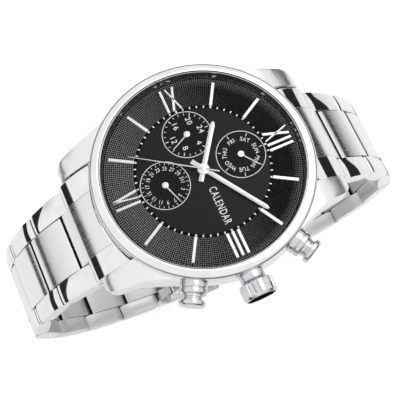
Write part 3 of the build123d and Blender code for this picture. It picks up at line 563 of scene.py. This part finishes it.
def letters(text, height, place, wide=1.0, spacing=1.0):
    """A word's raised outline: its capital height is in millimetres, and place puts it on the dial."""
    curve = bpy.data.curves.new(text, "FONT")
    curve.body = text
    curve.align_x = "CENTER"
    curve.align_y = "CENTER"
    curve.size = height / 0.7
    curve.space_character = spacing
    curve.extrude = (PRINT + 0.01) / 2
    curve.resolution_u = 3
    holder = bpy.data.objects.new(text, curve)
    mesh = bpy.data.meshes.new_from_object(holder)
    stretch = Matrix.Diagonal((wide, 1, 1, 1))
    verts = [place @ (stretch @ vert.co) for vert in mesh.vertices]
    faces = [list(polygon.vertices) for polygon in mesh.polygons]
    bpy.data.objects.remove(holder)
    bpy.data.meshes.remove(mesh)
    bpy.data.curves.remove(curve)
    return verts, faces


def word_at(text, height, radius, heading, centre, upright=False, wide=1.0, spacing=1.0):
    """A word round a subdial, its top outward, or standing upright on the dial."""
    place = dial_point(radius, heading, DIAL_Z + 0.03) + Vector((centre[0], centre[1], 0))
    turn = 0 if upright else -math.radians(heading)
    return letters(text, height, Matrix.Translation(place) @ Matrix.Rotation(turn, 4, "Z"), wide, spacing)


SUBDIAL_RING_R = 4.68
SUBDIAL_Z = 0.025           # how far a subdial's floor stands above the dial


def make_subdial(name, centre, solids):
    """A subdial's snailed disc, its white rim line and its printing."""
    profile = [(0, DIAL_Z - 0.05), (0, DIAL_Z + SUBDIAL_Z)]
    grooves = 22
    for step in range(grooves * 2):
        radius = 0.4 + step * (SUBDIAL_RING_R - 0.7) / (grooves * 2)
        profile.append((radius, DIAL_Z + SUBDIAL_Z - 0.002 * (step % 2)))
    profile += [(SUBDIAL_RING_R - 0.1, DIAL_Z + SUBDIAL_Z),
                (SUBDIAL_RING_R + 0.08, DIAL_Z + SUBDIAL_Z + 0.02),
                (SUBDIAL_RING_R + 0.18, DIAL_Z - 0.05)]
    shift = Matrix.Translation((centre[0], centre[1], 0))
    verts, faces = lathe(profile, 120)
    new_piece(name + "_subdial", "head", "black_dial", enamel, moved(verts, shift), faces, sharp=60)
    line = [(SUBDIAL_RING_R - 0.06, DIAL_Z + 0.02), (SUBDIAL_RING_R + 0.06, DIAL_Z + 0.02),
            (SUBDIAL_RING_R + 0.06, DIAL_Z + SUBDIAL_Z + 0.035),
            (SUBDIAL_RING_R - 0.06, DIAL_Z + SUBDIAL_Z + 0.035)]
    verts, faces = lathe(line, 120)
    new_piece(name + "_printing", "head", "white_plastic", print_white,
              *joined((moved(verts, shift), faces), *solids))


def make_subdials():
    centre = SUBDIALS["day"]
    solids = []
    for index, day in enumerate(("SUN", "MON", "TUE", "WED", "THU", "FRI", "SAT")):
        heading = index * 360 / 7
        solids.append(word_at(day, 0.82, 3.0, heading, centre, wide=0.9, spacing=1.1))
        solids.append(tick(heading, 3.75, 4.4, 0.13, centre, SUBDIAL_Z))
    make_subdial("day", centre, solids)
    centre = SUBDIALS["twenty_four_hour"]
    solids = []
    for hour in range(24):
        wide = 0.14 if hour % 4 == 0 else 0.09
        solids.append(tick(hour * 15, 3.75 if hour % 4 == 0 else 3.95, 4.4, wide, centre, SUBDIAL_Z))
    for hour in (24, 4, 8, 12, 16, 20):
        solids.append(word_at(str(hour), 1.08, 2.8, hour * 15, centre, upright=True, spacing=1.1))
    make_subdial("twenty_four_hour", centre, solids)
    centre = SUBDIALS["date"]
    solids = []
    for day in range(1, 32):
        heading = day * 360 / 31
        solids.append(tick(heading, 3.95 if day % 2 else 4.1, 4.45, 0.08, centre, SUBDIAL_Z))
        if day % 2:
            solids.append(word_at(str(day), 0.78, 3.3, heading, centre, wide=0.8, spacing=1.05))
    make_subdial("date", centre, solids)
    word = letters("CALENDAR", 1.5, Matrix.Translation((7.6, 0, DIAL_Z + 0.002)), 0.62, 1.18)
    new_piece("dial_word", "head", "white_plastic", print_white, *word)


MARK_IN = 13.05
MARK_OUT = 18.0


def baton(start, end, shift_in, shift_out, width, low, high):
    """An applied stroke with a flat top and sloped flanks, running out along +Y."""
    def outline(half, back, height):
        return [Vector((shift_in - half, start + back, height)),
                Vector((shift_in + half, start + back, height)),
                Vector((shift_out + half, end - back, height)),
                Vector((shift_out - half, end - back, height))]
    half = width / 2
    return loft([outline(half, 0, low), outline(half, 0, high - 0.09), outline(half - 0.09, 0.09, high)])


def make_hour_marks():
    """Eight batons, and XII, III, VI and IX drawn out along the hour's radius."""
    strokes = {
        12: ((0.5, 0.5, 0.6), (1.6, 1.6, 0.6), (-1.93, -0.37, 0.6), (-0.37, -1.93, 0.4)),
        3: ((-1.1, -1.1, 0.64), (0, 0, 0.64), (1.1, 1.1, 0.64)),
        6: ((1.3, 0.6, 0.6), (-0.1, 0.6, 0.4), (-1.0, -1.0, 0.6)),
        9: ((-1.3, -1.3, 0.6), (-0.28, 1.28, 0.6), (1.28, -0.28, 0.4)),
    }
    solids = []
    for hour in range(1, 13):
        for shift_in, shift_out, width in strokes.get(hour, ((0, 0, 0.68),)):
            verts, faces = baton(MARK_IN, MARK_OUT, shift_in, shift_out, width, FLOOR_Z, MARK_Z)
            solids.append((moved(verts, on_dial(hour * 30)), faces))
    new_piece("applied_marks", "head", "satin_silver", satin, *joined(*solids), replaces=("hour_marks",))


# ---------------------------------------------------------------- hands
RIDGE_SHARE = 0.15          # a ridge's width as a share of the hand's


def blade(length, tail, wide, narrow, low, high):
    """A baton hand along +Y whose two flanks rise to a narrow ridge."""
    def outline(share, height):
        inset = 0.7 * (1 - share) * narrow
        points = [(-narrow * share, -tail + inset), (narrow * share, -tail + inset),
                  (wide * share, length - 1.6 * wide), (0.45 * wide * share, length - inset),
                  (-0.45 * wide * share, length - inset), (-wide * share, length - 1.6 * wide)]
        return [Vector((x, y, height)) for x, y in points]
    return loft([outline(1, low), outline(1, low + 0.35 * (high - low)), outline(RIDGE_SHARE, high)])


def hub(radius, low, high, pin_r, pin_high):
    """A round boss with a smaller pin standing on it."""
    profile = [(0, low), (radius, low), (radius, high), (pin_r, high), (pin_r, pin_high), (0, pin_high)]
    return lathe(rounded(profile, 0.05, 3), 64)


def make_hand(node, body, heading, sizes, hub_sizes, centre=(0, 0, 0)):
    """One hand at its rest heading; sizes are length, tail and the two half widths."""
    low, high = corners(node)
    arm = blade(*sizes, low.z, high.z)
    boss = hub(hub_sizes[0], low.z, high.z + 0.02, hub_sizes[1], high.z + hub_sizes[2])
    verts, faces = joined(arm, boss)
    new_piece(node + "_blade", body, "satin_silver", satin, moved(verts, on_dial(heading, centre)), faces,
              replaces=(node,), sharp=20)


def make_hands():
    make_hand("hour_hand", "hours", 304.7, (9.8, 2.5, 0.47, 0.45), (1.15, 0.7, 0.05))
    make_hand("minute_hand", "minutes", 56.4, (14.3, 2.7, 0.40, 0.45), (1.1, 0.55, 0.06))
    make_hand("seconds_hand", "seconds", 213.0, (14.4, 3.1, 0.08, 0.17), (0.55, 0.3, 0.08))
    for name, body, heading in (("day", "day", 53.5), ("twenty_four_hour", "twenty_four_hours", 152.4),
                                ("date", "date", 70.5)):
        make_hand(name + "_hand", body, heading, (4.15, 0.3, 0.12, 0.17), (0.62, 0.3, 0.06), SUBDIALS[name])


# ---------------------------------------------------------------- crown and pushers
CROWN_FLUTES = 20
COLLAR_START = 21.2         # each collar starts just inside the case's side
COLLAR_R = 2.6
COLLAR_FLOOR = 21.9
COLLAR_END = 23.55
TUBE_BORE_R = 0.56
STEM_START = 18.4
STEM_R = 0.5
PUSHER_BODY_START = 23.05
PUSHER_BODY_R = 1.9
PUSHER_CAP_R = 2.45
PUSHER_CAP_START = 24.65
PUSHER_CAP_END = 25.75


def make_crown():
    """A fluted barrel with bevelled rims and a black cap set into its end."""
    start = CROWN_LOW.x
    end = CROWN_HIGH.x
    radius = CROWN_HIGH.z - CROWN_Z
    steps = CROWN_FLUTES * 16
    cap_low, cap_high = corners("crown_cap")
    cap_r = cap_high.y
    profile = [(0, start, 0), (1.2, start, 0), (radius - 0.38, start, 0), (radius - 0.2, start + 0.12, 0.3)]
    for step in range(9):
        share = step / 8
        profile.append((radius, start + 0.3 + 2.1 * share, 1))
    profile += [(radius, start + 2.5, 0.6), (radius - 0.03, start + 2.62, 0.15),
                (radius - 0.1, start + 2.72, 0),
                (radius - 0.25, end - 0.12, 0), (radius - 0.32, end - 0.03, 0), (radius - 0.38, end, 0),
                (cap_r + 0.06, end, 0), (cap_r + 0.03, end - 0.04, 0), (cap_r + 0.02, end - 0.4, 0),
                (0, end - 0.4, 0)]
    verts = []
    rings = []
    for ring_radius, along, depth in profile:
        if ring_radius == 0:
            rings.append([len(verts)] * steps)
            verts.append((0, 0, along))
            continue
        rings.append(range(len(verts), len(verts) + steps))
        for step in range(steps):
            turn = 2 * math.pi * step / steps
            wave = abs(math.sin(turn * CROWN_FLUTES / 2))
            dip = 0.3 * depth * max(0.0, 1 - wave * 1.9) ** 1.2
            verts.append(((ring_radius - dip) * math.cos(turn), (ring_radius - dip) * math.sin(turn), along))
    faces = []
    for ring, following in zip(rings, rings[1:]):
        for step in range(steps):
            after = (step + 1) % steps
            face = list(dict.fromkeys((ring[step], ring[after], following[after], following[step])))
            if len(face) > 2:
                faces.append(face)
    outward = radial(0, CROWN_Z)
    new_piece("crown_barrel", "crown", "polished_steel", turned_steel, moved(verts, outward), faces,
              replaces=("crown",), sharp=40)
    cap = [(0, cap_low.x), (cap_r, cap_low.x), (cap_r, cap_high.x - 0.1), (cap_r - 0.13, cap_high.x - 0.02),
           (0, cap_high.x)]
    verts, faces = lathe(rounded(cap, 0.05), 96)
    new_piece("crown_cap_disc", "crown", "black_enamel", cap_black, moved(verts, outward), faces,
              replaces=("crown_cap",))
    tube = corners("crown_tube")[1]
    wide = tube.y
    collar = [(TUBE_BORE_R, COLLAR_START), (wide, COLLAR_START), (wide, tube.x - 0.3),
              (wide - 0.15, tube.x - 0.1), (wide - 0.3, tube.x), (TUBE_BORE_R, tube.x)]
    verts, faces = lathe(rounded(collar, 0.06), 96)
    new_piece("crown_collar", "head", "polished_steel", turned_steel, moved(verts, outward), faces,
              replaces=("crown_tube",))


def make_pushers():
    """Stepped collars fixed to the case, and a stem with a thin wide cap in each."""
    tubes = []
    for name, degrees in PUSHER_ANGLES.items():
        outward = radial(degrees, CROWN_Z)
        tube = [(TUBE_BORE_R, COLLAR_START), (COLLAR_R, COLLAR_START), (COLLAR_R, 22.25),
                (COLLAR_R - 0.16, 22.35), (COLLAR_R - 0.16, 22.5), (COLLAR_R, 22.6),
                (COLLAR_R, COLLAR_END - 0.3),
                (COLLAR_R - 0.22, COLLAR_END), (PUSHER_BODY_R + 0.05, COLLAR_END),
                (PUSHER_BODY_R + 0.05, COLLAR_FLOOR), (TUBE_BORE_R, COLLAR_FLOOR)]
        verts, faces = lathe(rounded(tube, 0.06), 96)
        tubes.append((moved(verts, outward), faces))
        stem = [(0, STEM_START), (STEM_R, STEM_START), (STEM_R, PUSHER_BODY_START),
                (PUSHER_BODY_R, PUSHER_BODY_START), (PUSHER_BODY_R, 23.95), (PUSHER_BODY_R - 0.14, 24.05),
                (PUSHER_BODY_R - 0.14, 24.25), (PUSHER_BODY_R, 24.35), (PUSHER_BODY_R, PUSHER_CAP_START),
                (PUSHER_CAP_R - 0.12, PUSHER_CAP_START), (PUSHER_CAP_R, PUSHER_CAP_START + 0.12),
                (PUSHER_CAP_R, PUSHER_CAP_END - 0.35), (PUSHER_CAP_R - 0.25, PUSHER_CAP_END - 0.06),
                (0, PUSHER_CAP_END)]
        verts, faces = lathe(rounded(stem, 0.06), 96)
        new_piece(name + "_button", name, "polished_steel", turned_steel, moved(verts, outward), faces,
                  replaces=(name,))
    new_piece("pusher_collars", "head", "polished_steel", turned_steel, *joined(*tubes),
              replaces=("pusher_tubes",))


# ---------------------------------------------------------------- bracelet
def chain_frame(side, index):
    """The frame of a link: x across the bracelet, y along it away from the head, z outward."""
    start = HINGES[index]
    end = HINGES[index + 1]
    along = Vector((0, side * (end.y - start.y), end.z - start.z)).normalized()
    outward = Vector((0, -side * along.z, side * along.y))
    matrix = Matrix((Vector((1, 0, 0)), along, outward)).transposed().to_4x4()
    return Matrix.Translation((0, side * start.y, start.z)) @ matrix


CROWNING = 0.13             # how far a link's top and bottom swell along their length
WIDTH_CROWNING = 0.13       # how far an outer piece's top and bottom swell across their width
SHOULDER = 2.2              # how far along the link, from a hinge, the soft shoulder begins
SHOULDER_PAST = 0.567       # how far past the hinge it goes on before the round end takes over
SHOULDER_DEGREES = 14.0     # how steep it is there
OUTER_END = (1.3, 0.2)      # reach and drop of the shoulder at an outer piece's flat end
CENTRE_END = (2.3, 0.32)    # and at a centre piece's


def link_outline(start, end, round_start, round_end, flat_end):
    """The side view of a link piece: swelling faces that fall away to a round or a flat end."""
    steep = math.tan(math.radians(SHOULDER_DEGREES))
    reach = SHOULDER + SHOULDER_PAST
    nose_r = (LINK_R - reach * steep / 2) / math.cos(math.radians(SHOULDER_DEGREES))
    nose_centre = SHOULDER_PAST - nose_r * math.sin(math.radians(SHOULDER_DEGREES))

    def drop_at(y):
        drop = 0.0
        for is_round, distance in ((round_start, y - start), (round_end, end - y)):
            if is_round and distance < SHOULDER:
                drop += (SHOULDER - distance) ** 2 * steep / (2 * reach)
            elif not is_round and distance < flat_end[0]:
                drop += flat_end[1] * (1 - distance / flat_end[0]) ** 2
        return drop
    first = start - SHOULDER_PAST if round_start else start
    last = end + SHOULDER_PAST if round_end else end
    face = []
    for step in range(41):
        y = first + (last - first) * step / 40
        share = (y - first) / (last - first)
        face.append((y, LINK_R + CROWNING * (1 - (2 * share - 1) ** 2) - drop_at(y)))
    outline = list(face)
    for is_round, y, hand in ((round_end, end, 1), (round_start, start, -1)):
        if is_round:
            centre = y + hand * nose_centre
            for step in range(1, 20):
                turn = math.radians(SHOULDER_DEGREES + (180 - 2 * SHOULDER_DEGREES) * step / 20)
                outline.append((centre + hand * nose_r * math.sin(turn), hand * nose_r * math.cos(turn)))
        if hand > 0:
            outline += [(y, -height) for y, height in reversed(face)]
    return outline


def link_solid(outline, inner, near_outer, far_outer, pitch, matrix, crown=0.0, steps=1):
    """An outline spread across the bracelet from x = inner to a width that tapers along the link."""
    stations = []
    for step in range(steps + 1):
        share = step / steps
        swell = 1 + crown * (1 - (2 * share - 1) ** 2) / LINK_R
        station = []
        for along, height in outline:
            outer = near_outer + (far_outer - near_outer) * along / pitch
            station.append(matrix @ Vector((inner + (outer - inner) * share, along, height * swell)))
        stations.append(station)
    return loft(stations)


def finish_hidden_faces(piece, matrix, sides):
    """Gives a link piece a satin inner face, and near-black faces where it meets its neighbours: painted
    shade for the joints and the groove between the rows.
    """
    inward = -(matrix.to_3x3() @ Vector((0, 0, 1)))
    along = matrix.to_3x3() @ Vector((0, 1, 0))
    piece.data.materials.append(inside_steel)
    piece.data.materials.append(painted_shade_steel)
    for polygon in piece.data.polygons:
        if polygon.normal.dot(inward) > 0.9:
            polygon.material_index = 1
        # painted shade: faces across a joint, and a centre piece's sides, get the near-black steel
        elif abs(polygon.normal.dot(along)) > 0.8 or (sides and abs(polygon.normal.x) > 0.9):
            polygon.material_index = 2


def make_link(side, index):
    clock = "12" if side > 0 else "6"
    body = f"link_{clock}_{index + 1}"
    matrix = chain_frame(side, index)
    pitch = (HINGES[index + 1] - HINGES[index]).length
    clear = LINK_R + JOINT_GAP
    near, far = LINK_HALVES[index], LINK_HALVES[index + 1]
    inner = CENTRE_HALF + ROW_GAP
    outers = []
    for hand in (-1, 1):
        outline = link_outline(0, pitch - clear, True, False, OUTER_END)
        outers.append(link_solid(outline, hand * inner, hand * near, hand * far, pitch, matrix,
                                 WIDTH_CROWNING, 8))
        pin_x = hand * (near - 0.03)
        rim = [(0, -0.3), (0.5, -0.3), (0.5, 0.02), (0.38, 0.07), (0, 0.09)]
        verts, faces = lathe(rounded(rim, 0.03, 2), 32)
        face_out = Matrix.Translation((pin_x, 0, 0)) @ Matrix.Rotation(hand * math.pi / 2, 4, "Y")
        outers.append((moved(moved(verts, face_out), matrix), faces))
    piece = new_piece(body + "_outer_pieces", body, "bracelet_steel", polished, *joined(*outers),
                      replaces=(body,), bevel=0.1)
    finish_hidden_faces(piece, matrix, False)
    outline = link_outline(clear, pitch, False, True, CENTRE_END)
    centre = link_solid(outline, -CENTRE_HALF, CENTRE_HALF, CENTRE_HALF, pitch, matrix)
    bridge = [(clear + 0.3, LINK_R - 0.4), (pitch - clear - 0.3, LINK_R - 0.4),
              (pitch - clear - 0.3, -LINK_R + 0.4), (clear + 0.3, -LINK_R + 0.4)]
    core = link_solid(bridge, -CENTRE_HALF - 0.4, CENTRE_HALF + 0.4, CENTRE_HALF + 0.4, pitch, matrix)
    piece = new_piece(body + "_centre_piece", body, "brushed_steel", brushed, *joined(centre, core),
                      bevel=0.1)
    finish_hidden_faces(piece, matrix, True)


def end_link_top(y):
    """Height of the end link's upper curve at a distance from the case's centre."""
    out = y - 20.0
    return 5.6 - 0.51 * out - 0.035 * out**2 - 0.003 * out**3


def end_link_outline(start, tongue):
    """The side view of the end link from a start distance: curved top, rounded lip, flat underside."""
    outline = []
    for step in range(25):
        y = start + (26.0 - start) * step / 24
        outline.append((y, end_link_top(y)))
    if tongue:
        hinge_y, hinge_z = HINGES[0].y, HINGES[0].z
        for step in range(17):
            turn = math.radians(38 - step * 175 / 16)
            outline.append((hinge_y + LINK_R * math.cos(turn), hinge_z + LINK_R * math.sin(turn)))
    else:
        outline += [(26.35, -0.2), (26.5, -0.75), (26.45, -1.15), (26.2, -1.45)]
        for step in range(9):
            turn = math.radians(100 + step * 65 / 8)
            reach = LINK_R + JOINT_GAP
            outline.append((HINGES[0].y + reach * math.cos(turn), HINGES[0].z + reach * math.sin(turn)))
        outline += [(24.3, -3.0)]
    outline += [(21.5, -1.1), (max(start, 19.0), -0.3), (start, -0.1)]
    return outline


END_LINK_GAP = 0.12         # gap between an end link and its lug
END_CORNER_R = 0.8          # the end link's corners beside the case are rounded


def end_link_start(x, half, corner_r):
    """Where the end link starts beside the case, at a distance across the bracelet."""
    start = math.sqrt(CASE_R**2 - x**2)
    past = abs(x) - (half - corner_r)
    if past > 0:
        start += corner_r - math.sqrt(max(corner_r**2 - past**2, 0.0))
    return start


def finish_end_link(piece, side):
    """Satin faces beside the lugs, and near-black ones against the case: painted shade for the joint there.
    """
    piece.data.materials.append(inside_steel)
    piece.data.materials.append(painted_shade_steel)
    for polygon in piece.data.polygons:
        if abs(polygon.normal.x) > 0.8:
            polygon.material_index = 1
        # painted shade: faces turned towards the case get the near-black steel
        elif -side * polygon.normal.y > 0.6:
            polygon.material_index = 2


def make_end_links():
    """Three sections between each pair of lugs: polished sides and a centre that holds the hinge."""
    half = corners("end_links")[1].x - END_LINK_GAP
    for side in (1, -1):
        clock = "12" if side > 0 else "6"
        sides = []
        for hand in (-1, 1):
            stations = []
            for step in range(17):
                share = math.sin(math.pi / 2 * step / 16)
                x = CENTRE_HALF + 0.02 + (half - CENTRE_HALF - 0.02) * share
                outline = end_link_outline(end_link_start(x, half, END_CORNER_R), False)
                stations.append([Vector((hand * x, side * y, z)) for y, z in outline])
            sides.append(loft(stations))
        piece = new_piece(f"end_link_{clock}_sides", "head", "bracelet_steel", polished, *joined(*sides),
                          bevel=0.08, replaces=("end_links",))
        finish_end_link(piece, side)
        stations = []
        for step in range(17):
            x = -CENTRE_HALF + 2 * CENTRE_HALF * step / 16
            outline = end_link_outline(end_link_start(x, half, END_CORNER_R), True)
            stations.append([Vector((x, side * y, z)) for y, z in outline])
        piece = new_piece(f"end_link_{clock}_centre", "head", "brushed_steel", brushed, *loft(stations),
                          bevel=0.08)
        finish_end_link(piece, side)


def make_clasp():
    refined_copy("clasp_cover", "clasp_cover_plate", "clasp_cover", brushed, 0.1)
    refined_copy("clasp_long_blade", "clasp_long_blade_plate", "clasp_long_blade",
                 blade_steel, 0.08)
    refined_copy("clasp_inner_blade", "clasp_inner_blade_plate", "clasp_inner_blade",
                 blade_steel, 0.08)
    for clock in ("3", "9"):
        refined_copy(f"clasp_button_{clock}", f"clasp_button_{clock}_cap", f"clasp_button_{clock}",
                     tool_steel, 0.05)


# ---------------------------------------------------------------- pieces kept as the CAD has them
def dress_kept_nodes():
    """Gives the sealed movement and other carried-over nodes their materials and smooth shading."""
    finishes = {
        "case_gaskets": rubber, "movement_holder": plastic, "main_plate": brass,
        "train_bridge": back_steel, "bridge_screws": tool_steel, "battery": cell_steel, "motor_coil": copper,
        "circuit_board": board, "spring_bars": tool_steel, "setting_yoke": tool_steel,
        "winding_stem": tool_steel,
        "rotor": tool_steel, "day_star": plastic, "date_star": plastic,
    }
    for name, node in frame["nodes"].items():
        if node.hide_render:
            continue
        node.data.materials.clear()
        node.data.materials.append(finishes.get(name, wheel_brass))
        node.data.polygons.foreach_set("use_smooth", [True] * len(node.data.polygons))
        weld = node.modifiers.new("weld", "WELD")
        weld.merge_threshold = 1e-6
        split = node.modifiers.new("crisp_edges", "EDGE_SPLIT")
        split.split_angle = math.radians(32)


# ---------------------------------------------------------------- surroundings
def make_floor():
    """A pale floor just under the bracelet. Near the watch it glows for the camera, a painted pool of light
    that washes out its shadows; in reflections it is painted darker towards the 3 and 9 o'clock sides.
    """
    low = cad_bounds[0][2]
    size = 3.0
    mesh = bpy.data.meshes.new("floor")
    mesh.from_pydata([(-size, -size, low), (size, -size, low), (size, size, low), (-size, size, low)], [],
                     [(0, 1, 2, 3)])
    floor = bpy.data.objects.new("floor", mesh)
    bpy.context.scene.collection.objects.link(floor)
    material, nodes, links, shader = new_material("pale_floor")
    value = stretched_noise(nodes, links, 0.002, (1, 1, 1))
    pale = tinted(nodes, links, value, (0.92, 0.92, 0.92), (0.94, 0.94, 0.94))
    path = nodes.new("ShaderNodeLightPath")
    coordinates = nodes.new("ShaderNodeTexCoord")
    parts = nodes.new("ShaderNodeSeparateXYZ")
    links.new(coordinates.outputs["Object"], parts.inputs["Vector"])
    # painted reflection: glossy rays see the floor near-black towards the 3 and 9 o'clock sides
    sideways = calculated(nodes, links, "ABSOLUTE", parts.outputs["X"])
    side = remap(nodes, links, sideways, 0.0, 0.8, 60 * MM, 260 * MM)
    dimmed = calculated(nodes, links, "MULTIPLY", side, path.outputs["Is Glossy Ray"])
    shade = nodes.new("ShaderNodeMix")
    shade.data_type = "RGBA"
    shade.inputs[7].default_value = (0.02, 0.02, 0.02, 1)
    links.new(dimmed, shade.inputs["Factor"])
    links.new(pale, shade.inputs[6])
    links.new(shade.outputs[2], shader.inputs["Base Color"])
    shader.inputs["Roughness"].default_value = 0.9
    shader.inputs["Emission Color"].default_value = (1, 1, 1, 1)
    # painted light: for the camera the floor glows near the watch, fading out by 500 mm
    distance = length_of(nodes, links, coordinates.outputs["Object"])
    near = remap(nodes, links, distance, 0.4, 0.0, 150 * MM, 500 * MM)
    glow = calculated(nodes, links, "MULTIPLY", near, path.outputs["Is Camera Ray"])
    links.new(glow, shader.inputs["Emission Strength"])
    mesh.materials.append(material)


def make_world():
    """A white studio; reflections also see darker walls low down on the 3 and 9 o'clock sides."""
    world = bpy.data.worlds.new("studio")
    bpy.context.scene.world = world
    world.use_nodes = True
    nodes = world.node_tree.nodes
    links = world.node_tree.links
    coordinates = nodes.new("ShaderNodeTexCoord")
    parts = nodes.new("ShaderNodeSeparateXYZ")
    links.new(coordinates.outputs["Generated"], parts.inputs["Vector"])
    sideways = calculated(nodes, links, "ABSOLUTE", parts.outputs["X"])
    side = remap(nodes, links, sideways, 0.0, 1.0, 0.35, 0.75)
    lowness = remap(nodes, links, parts.outputs["Z"], 1.0, 0.0, 0.05, 0.5)
    wall = calculated(nodes, links, "MULTIPLY", side, lowness)
    light = remap(nodes, links, wall, 0.98, 0.12, 0.0, 1.0)
    path = nodes.new("ShaderNodeLightPath")
    seen = nodes.new("ShaderNodeMix")
    links.new(path.outputs["Is Camera Ray"], seen.inputs[0])
    links.new(light, seen.inputs[2])
    seen.inputs[3].default_value = 0.88
    links.new(seen.outputs[0], nodes["Background"].inputs["Strength"])
    nodes["Background"].inputs["Color"].default_value = (1, 1, 1, 1)


def make_black_card(name, y, low, high, half_width):
    """A black card standing across the end of the bracelet, seen only in reflections."""
    outline = [(-half_width, y, low), (half_width, y, low), (half_width, y, high), (-half_width, y, high)]
    mesh = bpy.data.meshes.new(name)
    mesh.from_pydata([Vector(corner) * MM for corner in outline], [], [(0, 1, 2, 3)])
    card = bpy.data.objects.new(name, mesh)
    bpy.context.scene.collection.objects.link(card)
    mesh.materials.append(coating("card_black", (0.004, 0.004, 0.004), (0.008, 0.008, 0.008), 0.8, 0.9, 0.01))
    card.visible_camera = False
    card.visible_diffuse = False
    card.visible_shadow = False
    card.visible_transmission = False


def make_light(name, place, size, power):
    """A square soft light, aimed at the dial."""
    data = bpy.data.lights.new(name, "AREA")
    data.size = size * MM
    data.energy = power
    light = bpy.data.objects.new(name, data)
    light.location = Vector(place) * MM
    aim = Vector((0, 0, DIAL_Z * MM)) - light.location
    light.rotation_euler = aim.to_track_quat("-Z", "Y").to_euler()
    bpy.context.scene.collection.objects.link(light)


def make_camera():
    """The camera looks down on the dial with 12 o'clock to the right of the picture."""
    place = Vector((46.677, -22.827, 154.17))
    aim = Vector((5.165, -2.987, DIAL_Z))
    roll = -67.166
    forward = (aim - place).normalized()
    north = Vector((0, 1, 0))
    level_up = (north - forward * north.dot(forward)).normalized()
    up = Matrix.Rotation(math.radians(roll), 3, forward) @ level_up
    right = forward.cross(up)
    data = bpy.data.cameras.new("camera")
    data.lens = 74.67
    data.sensor_width = 36
    data.clip_start = 0.001
    camera = bpy.data.objects.new("camera", data)
    matrix = Matrix((right, up, -forward)).transposed().to_4x4()
    camera.matrix_world = Matrix.Translation(place * MM) @ matrix
    bpy.context.scene.collection.objects.link(camera)
    bpy.context.scene.camera = camera


make_case()
make_dial_plate()
make_stamped_ring()
make_track_band()
make_minute_track()
make_subdials()
make_hour_marks()
make_hands()
make_crown()
make_pushers()
for side in (1, -1):
    for index in range(LINK_COUNT):
        make_link(side, index)
make_end_links()
make_clasp()
dress_kept_nodes()
make_floor()
make_world()
make_black_card("card_6", -206, cad_bounds[0][2] / MM + 1, -6, 200)
make_black_card("card_12", 320, cad_bounds[0][2] / MM + 1, 54, 230)
make_light("key", (-60, 160, 320), 260, 0.25)
make_camera()
bpy.context.scene.view_settings.view_transform = "Standard"
